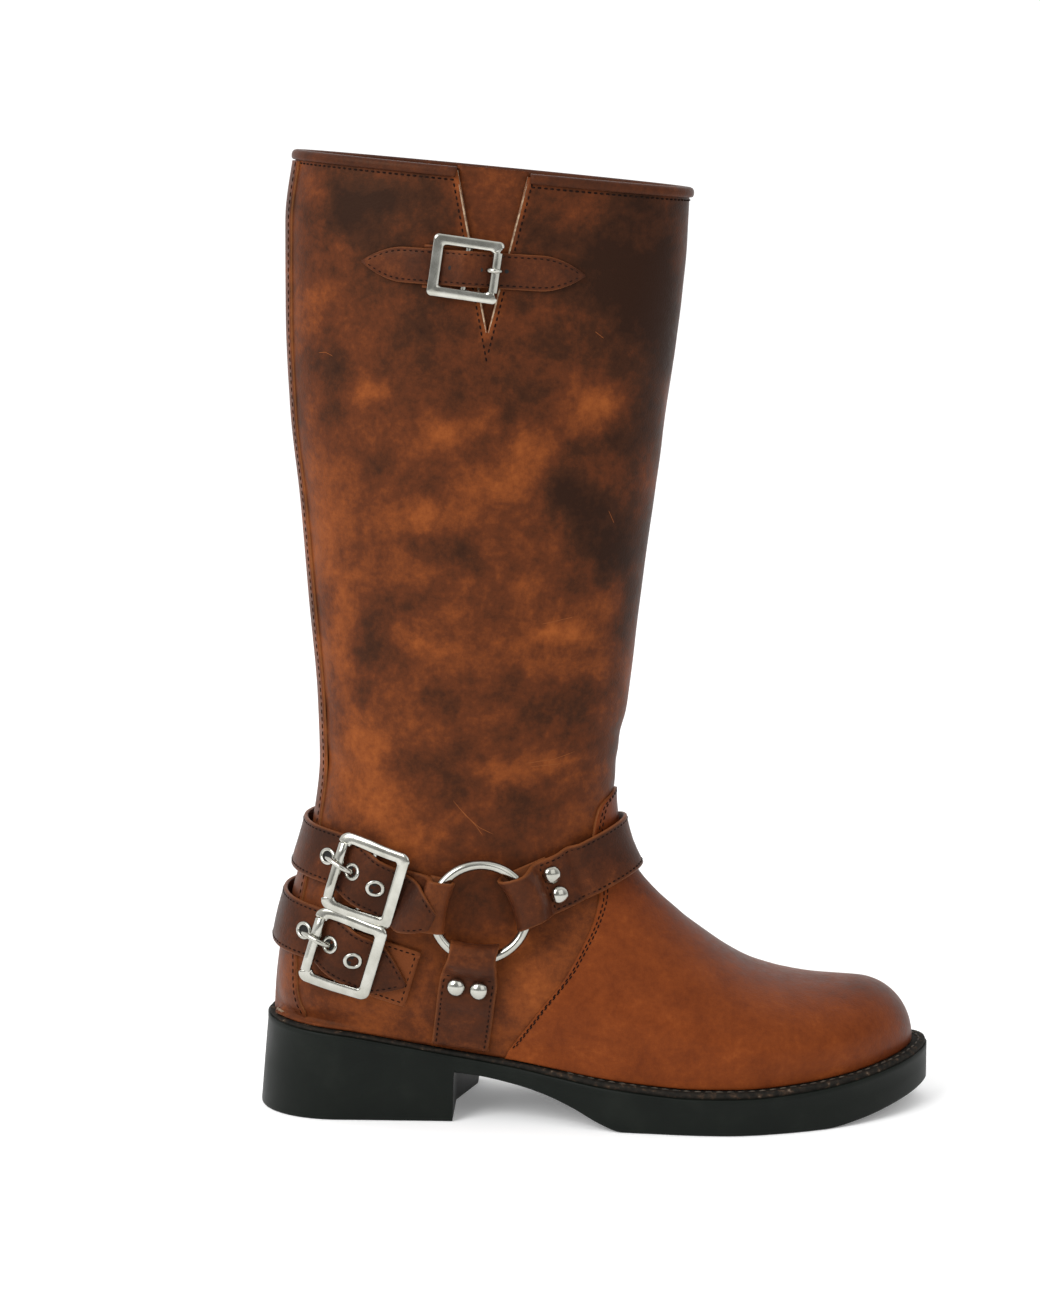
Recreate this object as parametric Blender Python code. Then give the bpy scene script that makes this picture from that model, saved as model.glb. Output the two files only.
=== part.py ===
"""Tall biker boot for the right foot, standing empty on its sole.

Lengths are millimetres in the boot's own frame: x runs from the back of the heel to the toe, y is
negative on the lateral side and positive on the medial side, z is up from the floor. The finished
objects are scaled to metres and moved so that the origin lies under the middle of the whole boot.
"""
import math

import bmesh
import bpy
import numpy as np
from mathutils import Vector
from mathutils.bvhtree import BVHTree
from mathutils.interpolate import poly_3d_calc

MM = 0.001
GAP = 0.3

# Sole unit: one rubber moulding with heel, shank and forefoot.
SOLE_LENGTH = 280.0
HEEL_BREAST_LATERAL = 82.0
HEEL_BREAST_MEDIAL = 90.0
HEEL_TOP_BACK = 3.0
HEEL_FLARE = 1.0
HEEL_ROUND_END = 36.0
HEEL_ROUNDNESS = 2.1
TOE_ROUND_START = 190.0
TOE_ROUNDNESS = 1.92
SOLE_EDGE = 0.9

# Plan of the sole: middle line and half width along the length.
SOLE_PLAN = {
    "x": (0.0, 36.0, 60.0, 85.0, 105.0, 125.0, 145.0, 165.0, 185.0, 205.0, 225.0, 245.0, 258.0, 270.0, 280.0),
    "mid": (0.0, 0.0, -0.5, -1.5, -3.7, -5.5, -6.5, -4.5, -2.5, -0.5, 1.5, 4.0, 6.2, 8.5, 11.0),
    "half": (33.0, 33.0, 33.0, 32.5, 32.2, 34.5, 39.5, 44.5, 48.5, 50.2, 50.0, 50.0, 50.0, 50.0, 50.0),
}
# Side of the sole: top of the rubber and thickness of the welt on it.
SOLE_SIDE = {
    "x": (0.0, 20.0, 36.0, 61.0, 84.0, 102.0, 143.0, 184.0, 205.0, 225.0, 245.0, 265.0, 280.0),
    "top": (38.8, 37.6, 35.9, 31.8, 27.8, 25.0, 18.6, 15.5, 15.6, 16.6, 18.5, 21.6, 24.3),
    "welt": (1.0, 1.0, 1.0, 1.0, 1.1, 1.3, 1.9, 2.0, 2.0, 2.0, 2.0, 2.0, 2.0),
}
# Underside in front of the heel breast: shank, flat forefoot, toe spring.
SOLE_UNDER = {
    "x": (80.0, 93.0, 107.0, 120.0, 133.0, 143.0, 152.0, 235.0, 251.0, 267.0, 280.0),
    "z": (21.0, 19.6, 16.8, 13.2, 7.8, 2.8, 0.0, 0.0, 2.2, 6.0, 9.5),
}
SOLE_STATIONS = (44.0, 55.0, 68.0)
SHANK_STATIONS = (95.0, 107.0, 120.0, 133.0, 143.0, 152.0, 164.0, 177.0, 190.0, 203.0, 215.0, 226.0, 235.0)
TOE_STATIONS = (243.0, 251.0, 258.5, 265.0, 270.5, 274.8, 277.8, 279.4, 280.0)

# Bottom edge of the upper: how far it lies inside the sole's outline.
FEATHER_BACK = 5.6
FEATHER_FRONT = 272.2
FEATHER_MARGIN = {
    "x": (0.0, 36.0, 85.0, 125.0, 165.0, 205.0, 280.0),
    "margin": (2.6, 2.6, 3.2, 4.2, 5.2, 5.6, 5.6),
}

# Upper: a fan of flat sections, each from its back or bottom point to its front or top point.
# swing moves the section to the medial side; lateral and medial are its half widths, level is the
# height of the widest point, rise is the angle at the bottom edge, low and high are the fullness
# of the two arcs. A zero bottom means that the section closes at the back seam.
UPPER_SECTIONS = (
    # back_x, back_z, front_x, front_z, swing, lateral, medial, level, rise, low, high
    (18.2, 395.0, 177.6, 379.8, 0.0, 40.5, 40.5, 0.50, 0.0, 0.56, 0.57),
    (14.6, 368.0, 176.4, 355.0, 0.0, 42.0, 42.0, 0.50, 0.0, 0.56, 0.57),
    (14.4, 330.0, 172.6, 320.0, 0.0, 43.2, 43.2, 0.50, 0.0, 0.56, 0.57),
    (15.8, 292.0, 167.6, 284.0, 0.0, 43.4, 43.4, 0.50, 0.0, 0.56, 0.57),
    (19.6, 254.0, 163.0, 249.0, 0.0, 42.4, 42.4, 0.50, 0.0, 0.56, 0.57),
    (22.8, 212.0, 157.9, 209.0, 0.0, 40.6, 40.6, 0.50, 0.0, 0.56, 0.57),
    (26.0, 172.0, 153.1, 170.0, 0.0, 38.6, 38.6, 0.49, 0.0, 0.57, 0.56),
    (26.6, 147.0, 149.4, 148.0, 0.0, 37.4, 37.4, 0.48, 0.0, 0.58, 0.55),
    (23.8, 122.0, 147.8, 132.5, 0.0, 37.0, 36.8, 0.47, 0.0, 0.62, 0.53),
    (16.0, 95.0, 148.8, 120.5, 0.0, 36.8, 36.4, 0.46, 0.0, 0.67, 0.52),
    (9.8, 70.0, 151.2, 110.8, 0.0, 36.6, 36.2, 0.45, 0.0, 0.71, 0.51),
    (7.4, 52.0, 154.0, 103.8, 0.0, 36.8, 36.2, 0.45, 0.0, 0.72, 0.51),
    (6.6, None, 157.2, 98.2, 0.0, 37.0, 36.2, 0.45, 0.0, 0.72, 0.51),
    (36.0, None, 162.6, 92.0, 0.0, 38.2, 36.8, 0.45, 74.0, 0.62, 0.51),
    (62.0, None, 166.6, 87.8, 0.2, 39.4, 37.4, 0.46, 78.0, 0.58, 0.51),
    (92.0, None, 171.0, 83.8, 0.5, 41.0, 38.2, 0.46, 78.0, 0.56, 0.51),
    (122.0, None, 177.0, 78.4, 0.8, 43.6, 39.0, 0.45, 78.0, 0.55, 0.51),
    (150.0, None, 185.0, 72.2, 1.0, 46.2, 40.4, 0.43, 78.0, 0.55, 0.52),
    (175.0, None, 195.0, 64.9, 1.4, 48.2, 42.0, 0.40, 78.0, 0.55, 0.54),
    (196.0, None, 206.0, 58.6, 2.0, 48.8, 43.2, 0.38, 78.0, 0.55, 0.56),
    (213.0, None, 217.0, 54.8, 2.8, 47.4, 41.4, 0.37, 78.0, 0.55, 0.58),
)
SECTION_COLUMNS = (
    "back_x", "back_z", "front_x", "front_z", "swing", "lateral", "medial", "level", "rise", "low", "high",
)
# Toe: ridge of the upper from the ball to the start of the rounded front.
TOE_RIDGE = {
    "x": (213.0, 220.0, 229.0, 240.0, 250.0, 273.0),
    "z": (54.8, 53.4, 52.1, 51.4, 50.9, 49.6),
    "swing": (2.8, 3.2, 3.9, 5.1, 6.3, 9.2),
}
TOE_CAP_START = 248.0
TOE_CAP_ROUNDNESS = 2.25
TOE_SWELL = 1.8
UPPER_WALL = 2.0
ANKLE_GAP = 0.35
UPPER_ROWS = (8, 8, 12, 6)
UPPER_AROUND = 12
RIDGE_CROWDING = 1.16

# V cut in the lateral side of the collar, in the side view.
NOTCH_TOP_LEFT = 85.2
NOTCH_TOP_RIGHT = 114.6
NOTCH_TOP_Z = 391.0
NOTCH_POINT_X = 97.4
NOTCH_POINT_Z = 325.0
NOTCH_OVER = 20.0

# Overlays on the upper. The vamp's edge is read in the side view, from the sole up to the tongue.
VAMP_THICK = 1.2
VAMP_GAP = 1.1
VAMP_FIRST = 5
VAMP_EDGE = {
    "x": (103.0, 117.0, 130.8, 141.5, 139.2, 141.4, 148.0),
    "z": (27.0, 47.5, 66.0, 92.0, 115.5, 128.0, 134.5),
}
STAY_THICK = 1.2
STAY_GAP = 0.6
STAY_TOP_Z = 388.0
STAY = {
    "z": (36.0, 60.0, 95.0, 130.0, 190.0, 395.0),
    "half": (29.0, 24.5, 18.0, 14.5, 13.0, 12.0),
}
BINDING_THICK = 1.1
BINDING_DEEP = 4.4
GUSSET_THICK = 1.4

INSOLE_THICK = 3.0
WELT_INSIDE = 9.0
WELT_SETBACK = 0.7

# Harness rings and straps. Heights are above the surface of the upper.
STRAP_THICK = 1.7
STRAP_LOW = 2 * GAP + STRAP_THICK / 2
OVER_PANEL = VAMP_GAP + VAMP_THICK + 0.9 + STRAP_THICK / 2
RING_X = 93.5
RING_Z = 90.2
RING_RADIUS = 19.4
RING_WIRE = 2.1
RING_CLEAR = 5.2
RING_LOOP = 1.5
FOLD = 19.3
LOOP_TOP = 22.4
LOOP_SLOPE = (25.2, 28.2)
DOUBLED_END = 37.0
SINGLE_FROM = 43.0
BOW_END = 32.0
BOW_FADE = 9.0
FRONT_STRAP_WIDE = 24.2
FRONT_STRAP_Z = 88.2
FRONT_STRAP_SLOPE = 21.4
FRONT_RIVET = (32.4, 4.8)
DOWN_STRAP_WIDE = 23.6
DOWN_STRAP_FOOT = (85.8, 35.0)
DOWN_STRAP_NARROW = 0.84
DOWN_STRAP_TAPER = (22.0, 30.0)
DOWN_RIVET = (32.0, 4.7)
HEEL_STRAP_WIDE = 21.8
HEEL_AXIS_X = 55.0
# Heel straps: angle round the heel axis, from the lateral side over the back, and height there.
HEEL_UPPER = {
    "angle": (-33.0, 7.0, 36.0, 90.0, 144.0, 173.0, 200.0, 227.6),
    "z": (86.6, 100.4, 109.4, 111.5, 110.8, 102.9, 95.8, 90.2),
}
HEEL_LOWER = {
    "angle": (-14.0, 20.0, 45.0, 90.0, 135.0, 160.0, 194.0),
    "z": (59.2, 69.6, 78.4, 81.0, 80.0, 72.4, 61.0),
}
UPPER_BUCKLE_AT = (46.6, 99.2)
LOWER_BUCKLE_AT = (38.4, 69.8)
TAB_WIDE = 24.0
LOW_TIP_HIGH = 4.2
TAB_END = (66.4, 61.4)
TOP_STRAP_WIDE = 14.0
TOP_STRAP_THICK = 1.5
TOP_STRAP_RIGHT = (135.6, 347.2)
TOP_STRAP_LEFT = (47.8, 352.7)
TOP_BUCKLE_AT = 88.8
TOP_TAB_WIDE = 17.0
TOP_TAB_THICK = 1.2
RIVET_RADIUS = 3.5
RIVET_HIGH = 1.9
EYELET_RADIUS = 3.3
EYELET_HOLE = 2.1
EYELET_HIGH = 0.7

# Heel buckles and top buckle: outer sizes along and across the strap, width, depth and height of
# the bars, height of the centre bar. Strap, prong and hole heights are rows along the strap, from
# the buckle's middle to its roller.
HEEL_BUCKLE = {
    "long": 28.6, "wide": 30.2, "bar": 3.8, "deep": 2.6, "round": 4.0,
    "height": 4.6, "arch": 1.7, "centre": 3.5,
}
HEEL_BUCKLE_STRAP = {
    "u": (-15.5, -12.3, -7.6, -2.6, 0.0, 2.6, 7.4, 12.3, 18.0, 30.0),
    "h": (4.1, 3.5, 3.55, 5.6, 6.0, 5.6, 3.5, 2.6, 2.9, OVER_PANEL),
}
HEEL_PRONG = {
    "u": (2.6, 5.0, 6.4, 6.6, 8.4, 12.4, 15.2, 17.0),
    "h": (1.9, 1.9, 3.4, 6.6, 9.3, 10.4, 9.8, 8.8),
}
HEEL_HOLES = (-4.6, 6.6, 19.0)
TOP_BUCKLE = {
    "long": 27.0, "wide": 24.0, "bar": 4.4, "deep": 2.4, "round": 4.2,
    "height": 3.9, "arch": 1.2, "centre": 3.0,
}
TOP_BUCKLE_STRAP = {
    "u": (-24.0, -18.5, -11.3, -5.5, 0.0, 5.5, 11.3, 20.0),
    "h": (1.5, 2.5, 2.45, 3.6, 5.4, 3.6, 1.7, 1.1),
}
TOP_PRONG = {
    "u": (2.6, 4.6, 6.0, 6.2, 8.0, 11.4, 14.0, 15.6),
    "h": (1.6, 1.6, 2.9, 5.6, 7.9, 9.0, 8.6, 7.8),
}
TOP_HOLE = 6.2
CENTRE_BAR = 1.1
ROLLER_RADIUS = 2.3
ROLLER_BORE = 1.8
ROLLER_CORE = 1.0
PRONG_RADIUS = 1.1

COLOURS = {
    "leather": (0.36, 0.15, 0.05, 1.0),
    "strap": (0.22, 0.10, 0.045, 1.0),
    "rubber": (0.02, 0.022, 0.02, 1.0),
    "steel": (0.7, 0.7, 0.68, 1.0),
    "lining": (0.45, 0.33, 0.2, 1.0),
}

for old in list(bpy.data.objects):
    bpy.data.objects.remove(old)


def smooth(xs, ys, at):
    """Monotone cubic curve through the rows of a table."""
    xs = np.asarray(xs, float)
    ys = np.asarray(ys, float)
    at = np.clip(np.asarray(at, float), xs[0], xs[-1])
    step = np.diff(xs)
    slope = np.diff(ys) / step
    tangent = np.zeros(len(xs))
    tangent[0] = slope[0]
    tangent[-1] = slope[-1]
    for k in range(1, len(xs) - 1):
        if slope[k - 1] * slope[k] > 0:
            first = 2 * step[k] + step[k - 1]
            second = step[k] + 2 * step[k - 1]
            tangent[k] = (first + second) / (first / slope[k - 1] + second / slope[k])
    k = np.clip(np.searchsorted(xs, at, side="right") - 1, 0, len(xs) - 2)
    t = (at - xs[k]) / step[k]
    return (
        (1 + 2 * t) * (1 - t) ** 2 * ys[k]
        + t * (1 - t) ** 2 * step[k] * tangent[k]
        + t * t * (3 - 2 * t) * ys[k + 1]
        + t * t * (t - 1) * step[k] * tangent[k + 1]
    )


def end_round(x, back, front):
    """Share of the full width at x, with a round heel that starts at back and a toe that ends at front."""
    heel = np.clip((HEEL_ROUND_END - x) / (HEEL_ROUND_END - back), 0.0, 1.0)
    toe = np.clip((x - TOE_ROUND_START) / (front - TOE_ROUND_START), 0.0, 1.0)
    heel_share = (1.0 - heel ** HEEL_ROUNDNESS) ** (1.0 / HEEL_ROUNDNESS)
    toe_share = (1.0 - toe ** TOE_ROUNDNESS) ** (1.0 / TOE_ROUNDNESS)
    return heel_share * toe_share


def plan_edges(x, inset, back, front):
    """Lateral and medial edge of an outline inside the sole's plan."""
    mid = smooth(SOLE_PLAN["x"], SOLE_PLAN["mid"], x)
    half = (smooth(SOLE_PLAN["x"], SOLE_PLAN["half"], x) - inset) * end_round(x, back, front)
    return mid - half, mid + half


def rubber_top(x):
    return smooth(SOLE_SIDE["x"], SOLE_SIDE["top"], x)


def welt_thick(x):
    return smooth(SOLE_SIDE["x"], SOLE_SIDE["welt"], x)


def feather_height(x):
    return rubber_top(x) + welt_thick(x) + 2 * GAP + 0.2


def feather_edges(x):
    margin = smooth(FEATHER_MARGIN["x"], FEATHER_MARGIN["margin"], x)
    return plan_edges(x, margin, FEATHER_BACK, FEATHER_FRONT)


def bezier(points, count):
    t = np.linspace(0.0, 1.0, count)[:, None]
    a, b, c, d = (np.asarray(p, float) for p in points)
    return (1 - t) ** 3 * a + 3 * t * (1 - t) ** 2 * b + 3 * t * t * (1 - t) * c + t ** 3 * d


def half_section(width, bottom, height, level, rise, low, high):
    """Half of a section as a dense line of (outward, upward) points from the bottom to the ridge."""
    widest = level * height
    lift = math.radians(rise)
    first = (bottom + low * (width - bottom) * math.cos(lift), 0.45 * widest * math.sin(lift))
    lower = bezier(((bottom, 0.0), first, (width, widest * (1 - low)), (width, widest)), 40)
    upper = bezier(
        (
            (width, widest),
            (width, widest + high * (height - widest)),
            (high * width, height),
            (0.0, height),
        ),
        40,
    )
    return np.vstack((lower, upper[1:]))


def read_line(line, share):
    """Points at the given shares of a line's length."""
    length = np.concatenate(([0.0], np.cumsum(np.linalg.norm(np.diff(line, axis=0), axis=1))))
    at = np.asarray(share) * length[-1]
    return np.stack([np.interp(at, length, line[:, k]) for k in range(line.shape[1])], axis=1), length[-1]


class Upper:
    """The outer surface of the upper, read at a station along the fan and a share round the section."""

    def __init__(self):
        table = {}
        for k, column in enumerate(SECTION_COLUMNS):
            table[column] = [row[k] for row in UPPER_SECTIONS]
        for k, height in enumerate(table["back_z"]):
            if height is None:
                table["back_z"][k] = float(feather_height(table["back_x"][k]))
        self.table = {column: np.asarray(values, float) for column, values in table.items()}
        back = np.stack((self.table["back_x"], self.table["back_z"]), axis=1)
        front = np.stack((self.table["front_x"], self.table["front_z"]), axis=1)
        moves = np.linalg.norm(np.diff(back, axis=0), axis=1) + np.linalg.norm(np.diff(front, axis=0), axis=1)
        self.knots = np.concatenate(([0.0], np.cumsum(moves / 2)))
        self.seat = self.knots[12]
        self.ball = self.knots[-1]
        self.toe = self.ball + (FEATHER_FRONT - self.table["back_x"][-1])

    def toe_station(self, x):
        return self.ball + x - self.table["back_x"][-1]

    def columns(self, station):
        if station <= self.ball:
            row = {name: float(smooth(self.knots, values, station)) for name, values in self.table.items()}
            if station > self.seat:
                row["back_z"] = float(feather_height(row["back_x"]))
            return row
        x = min(self.table["back_x"][-1] + station - self.ball, FEATHER_FRONT)
        row = {name: float(values[-1]) for name, values in self.table.items()}
        start = self.table["back_x"][-1]
        lean = (self.table["front_x"][-1] - start) * (1.0 - (x - start) / (FEATHER_FRONT - start))
        row["back_x"] = x
        row["front_x"] = x + lean
        row["back_z"] = float(feather_height(x))
        past = np.clip((x - TOE_CAP_START) / (FEATHER_FRONT - TOE_CAP_START), 0.0, 1.0)
        share = float((1.0 - past ** TOE_CAP_ROUNDNESS) ** (1.0 / TOE_CAP_ROUNDNESS))
        ridge = float(smooth(TOE_RIDGE["x"], TOE_RIDGE["z"], x))
        row["front_z"] = row["back_z"] + (ridge - row["back_z"]) * share
        row["swing"] = float(smooth(TOE_RIDGE["x"], TOE_RIDGE["swing"], x))
        row["low"] = 0.55
        row["high"] = 0.58 + 0.04 * float(past)
        lateral, medial = feather_edges(x)
        row["lateral"] = row["swing"] - float(lateral) + TOE_SWELL * share
        row["medial"] = float(medial) - row["swing"] + TOE_SWELL * share
        return row

    def halves(self, station):
        """Lateral and medial half of the section at a station, as dense lines of world points."""
        row = self.columns(station)
        back = np.array((row["back_x"], row["back_z"]))
        axis = np.array((row["front_x"], row["front_z"])) - back
        height = float(np.linalg.norm(axis))
        axis = axis / max(height, 1e-9)
        bottoms = (0.0, 0.0)
        if station > self.seat:
            edges = feather_edges(row["back_x"])
            bottoms = (max(row["swing"] - float(edges[0]), 0.0), max(float(edges[1]) - row["swing"], 0.0))
        lines = []
        for side, width, bottom in ((-1, row["lateral"], bottoms[0]), (1, row["medial"], bottoms[1])):
            width = max(width, bottom)
            flat = half_section(width, bottom, height, row["level"], row["rise"], row["low"], row["high"])
            line = np.zeros((len(flat), 3))
            line[:, 0] = back[0] + axis[0] * flat[:, 1]
            line[:, 1] = row["swing"] + side * flat[:, 0]
            line[:, 2] = back[1] + axis[1] * flat[:, 1]
            lines.append(line)
        return lines

    def row(self, station, shares):
        """Points round a section: 0 is the lateral bottom, 0.5 the ridge, 1 the medial bottom."""
        lateral, medial = self.halves(station)
        shares = np.asarray(shares, float)
        points = np.zeros((len(shares), 3))
        first = shares <= 0.5
        if first.any():
            points[first] = read_line(lateral, shares[first] * 2)[0]
        if (~first).any():
            points[~first] = read_line(medial, (1 - shares[~first]) * 2)[0]
        return points

    def half_length(self, station):
        lateral, medial = self.halves(station)
        return read_line(lateral, [0.0])[1], read_line(medial, [0.0])[1]

    def stations(self, counts):
        """Stations from the collar to the toe, closer together at the round heel and toe."""
        ankle = self.knots[7]
        shaft = np.linspace(0.0, ankle, counts[0])
        heel = np.linspace(ankle, self.seat, counts[1] + 1)[1:]
        turn = np.linspace(0.0, 1.0, counts[2] + 1)[1:]
        foot = self.seat + (self.ball - self.seat) * (0.6 * turn + 0.4 * turn ** 2)
        angle = np.linspace(0.0, math.pi / 2, counts[3] + 1)[1:]
        toe = self.ball + (self.toe - self.ball) * np.sin(angle)
        return np.concatenate((shaft, heel, foot, toe))


def grid_normals(grid, closed_rows):
    """Outward normals of a grid of surface points, rows along the fan and columns round it."""
    along = np.gradient(grid, axis=0)
    across = np.gradient(grid, axis=1)
    for k in range(closed_rows):
        wrap = grid[k, 1] - grid[k, -2]
        across[k, 0] = wrap
        across[k, -1] = wrap
    normal = np.cross(along, across)
    size = np.linalg.norm(normal, axis=2, keepdims=True)
    normal = normal / np.maximum(size, 1e-9)
    for k in range(closed_rows):
        both = normal[k, 0] + normal[k, -1]
        both = both / np.linalg.norm(both)
        normal[k, 0] = both
        normal[k, -1] = both
    normal[-1, :] = (1.0, 0.0, 0.0)
    return normal


class Skin:
    """A fine copy of the upper's surface for nearest points and smooth normals."""

    def __init__(self, upper):
        stations = upper.stations((90, 60, 80, 40))
        shares = np.linspace(0.0, 1.0, 129)
        grid = np.stack([upper.row(s, shares) for s in stations])
        closed = int((stations <= upper.seat + 1e-6).sum())
        normal = grid_normals(grid, closed)
        rows, columns = grid.shape[:2]
        self.points = [Vector(p) for p in grid.reshape(-1, 3)]
        self.normals = [Vector(n) for n in normal.reshape(-1, 3)]
        self.faces = []
        for i in range(rows - 1):
            for j in range(columns - 1):
                a = i * columns + j
                b = a + 1
                c = a + columns + 1
                d = a + columns
                self.faces.append((a, b, c))
                self.faces.append((a, c, d))
        self.tree = BVHTree.FromPolygons(self.points, self.faces)

    def read(self, place, index):
        corners = self.faces[index]
        weights = poly_3d_calc([self.points[k] for k in corners], place)
        normal = Vector((0.0, 0.0, 0.0))
        for weight, k in zip(weights, corners):
            normal += self.normals[k] * weight
        normal.normalize()
        return np.array(place), np.array(normal)

    def nearest(self, point):
        place, _, index, _ = self.tree.find_nearest(Vector(point))
        return self.read(place, index)

    def hit(self, start, direction):
        place, _, index, _ = self.tree.ray_cast(Vector(start), Vector(direction).normalized())
        return self.read(place, index)

    def side(self, x, z, side):
        """Point of the surface seen from one side at (x, z)."""
        return self.hit((x, side * 300.0, z), (0.0, -side, 0.0))


UPPER = Upper()
SKIN = Skin(UPPER)
MADE = []


def add_object(name, points, faces, colour):
    """A mesh object from points in millimetres, with points that coincide joined."""
    keys = {}
    kept = []
    index = []
    for point in points:
        key = tuple(round(float(v), 3) for v in point)
        if key not in keys:
            keys[key] = len(kept)
            kept.append([float(v) * MM for v in point])
        index.append(keys[key])
    clean = []
    for face in faces:
        ring = []
        for corner in face:
            here = index[corner]
            if not ring or ring[-1] != here:
                ring.append(here)
        if len(ring) > 1 and ring[0] == ring[-1]:
            ring.pop()
        if len(set(ring)) == len(ring) and len(ring) > 2:
            clean.append(ring)
    mesh = bpy.data.meshes.new(name)
    mesh.from_pydata(kept, [], clean)
    mesh.validate()
    outward = bmesh.new()
    outward.from_mesh(mesh)
    bmesh.ops.recalc_face_normals(outward, faces=outward.faces)
    outward.to_mesh(mesh)
    outward.free()
    part = bpy.data.objects.new(name, mesh)
    bpy.context.scene.collection.objects.link(part)
    material = bpy.data.materials.new(name + "_material")
    material.use_nodes = True
    shader = next(node for node in material.node_tree.nodes if node.type == "BSDF_PRINCIPLED")
    shader.inputs["Base Color"].default_value = COLOURS[colour]
    mesh.materials.append(material)
    MADE.append(part)
    return part


def shell(name, outer, inner, colour):
    """A closed solid between two grids of points, with rims along every open edge."""
    rows, columns = outer.shape[:2]
    count = rows * columns
    points = np.vstack((outer.reshape(-1, 3), inner.reshape(-1, 3)))
    faces = []
    edges = {}

    def key_of(k):
        return tuple(round(float(v), 3) for v in points[k])

    def note(a, b):
        ends = frozenset((key_of(a), key_of(b)))
        if len(ends) == 2:
            edges.setdefault(ends, []).append((a, b))

    for i in range(rows - 1):
        for j in range(columns - 1):
            a = i * columns + j
            ring = (a, a + columns, a + columns + 1, a + 1)
            faces.append(ring)
            faces.append(tuple(count + k for k in reversed(ring)))
            for m in range(4):
                note(ring[m], ring[(m + 1) % 4])
    for uses in edges.values():
        if len(uses) == 1:
            a, b = uses[0]
            faces.append((b, a, count + a, count + b))
    return add_object(name, points, faces, colour)


def loft(name, rings, colour):
    """A closed solid through rings of points, closed flat at both ends."""
    size = len(rings[0])
    points = np.vstack([np.asarray(ring, float) for ring in rings])
    faces = []
    for i in range(len(rings) - 1):
        for j in range(size):
            a = i * size + j
            b = i * size + (j + 1) % size
            faces.append((a, b, b + size, a + size))
    faces.append(tuple(reversed(range(size))))
    faces.append(tuple(range((len(rings) - 1) * size, len(rings) * size)))
    return add_object(name, points, faces, colour)


def ring_loft(name, rings, colour):
    """A closed solid through rings of points that come back to the first ring."""
    size = len(rings[0])
    count = len(rings)
    points = np.vstack([np.asarray(ring, float) for ring in rings])
    faces = []
    for i in range(count):
        for j in range(size):
            a = i * size + j
            b = i * size + (j + 1) % size
            c = ((i + 1) % count) * size + (j + 1) % size
            d = ((i + 1) % count) * size + j
            faces.append((a, b, c, d))
    return add_object(name, points, faces, colour)


def boolean(part, cutter, operation):
    change = part.modifiers.new(operation.lower(), "BOOLEAN")
    change.operation = operation
    change.solver = "EXACT"
    change.object = cutter
    cutter.hide_render = True
    cutter.display_type = "WIRE"
    if cutter in MADE:
        MADE.remove(cutter)


def shell_from(name, stations, share_rows, low, high, colour):
    """A sheet of even thickness over the upper, low and high above its surface."""
    outer = []
    inner = []
    for station, shares in zip(stations, share_rows):
        here = []
        there = []
        for point in UPPER.row(station, shares):
            place, normal = SKIN.nearest(point)
            here.append(place + normal * high)
            there.append(place + normal * low)
        outer.append(here)
        inner.append(there)
    return shell(name, np.array(outer), np.array(inner), colour)


# Sole unit.
def sole_ring(x_lateral, x_medial, under):
    """A ring of the sole across its width, under is the height of its underside."""
    lateral = float(plan_edges(x_lateral, 0.0, 0.0, SOLE_LENGTH)[0])
    medial = float(plan_edges(x_medial, 0.0, 0.0, SOLE_LENGTH)[1])
    edge = min(SOLE_EDGE, (medial - lateral) * 0.2)
    lean = HEEL_TOP_BACK * max(0.0, 1.0 - x_lateral / HEEL_ROUND_END)
    flare = HEEL_FLARE * min(1.0, (medial - lateral) / 66.0) * max(0.0, 1.0 - x_lateral / 70.0)
    top_lateral = float(rubber_top(x_lateral + lean))
    top_medial = float(rubber_top(x_medial + lean))
    return (
        (x_lateral, lateral - flare + edge, under),
        (x_lateral, lateral - flare, under + SOLE_EDGE),
        (x_lateral + lean, lateral, top_lateral - SOLE_EDGE),
        (x_lateral + lean, lateral + edge, top_lateral),
        (x_medial + lean, medial - edge, top_medial),
        (x_medial + lean, medial, top_medial - SOLE_EDGE),
        (x_medial, medial + flare, under + SOLE_EDGE),
        (x_medial, medial + flare - edge, under),
    )


sole_rings = []
for step in range(8):
    turn = math.radians(90.0 * step / 7)
    x_here = HEEL_ROUND_END * (1.0 - math.cos(turn))
    sole_rings.append(sole_ring(x_here, x_here, 0.0))
for x_here in SOLE_STATIONS:
    sole_rings.append(sole_ring(x_here, x_here, 0.0))
breast_under = float(smooth(SOLE_UNDER["x"], SOLE_UNDER["z"], HEEL_BREAST_LATERAL))
sole_rings.append(sole_ring(HEEL_BREAST_LATERAL, HEEL_BREAST_MEDIAL, 0.0))
sole_rings.append(sole_ring(HEEL_BREAST_LATERAL, HEEL_BREAST_MEDIAL, breast_under))
for x_here in SHANK_STATIONS + TOE_STATIONS:
    sole_rings.append(sole_ring(x_here, x_here, float(smooth(SOLE_UNDER["x"], SOLE_UNDER["z"], x_here))))
loft("outsole", sole_rings, "rubber")


# Welt: a flat ring on the rubber that the upper stands on.
def outline_loop(inset, back, front, count):
    """Points round an outline inside the sole's plan, from the heel along the lateral side to the toe."""
    turns = np.linspace(0.0, math.pi, count + 1)
    x = back + (front - back) * (1 - np.cos(turns)) / 2
    lateral, medial = plan_edges(x, inset, back, front)
    one = np.stack((x, lateral), axis=1)
    other = np.stack((x, medial), axis=1)[1:-1]
    return np.vstack((one, other[::-1]))


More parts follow.
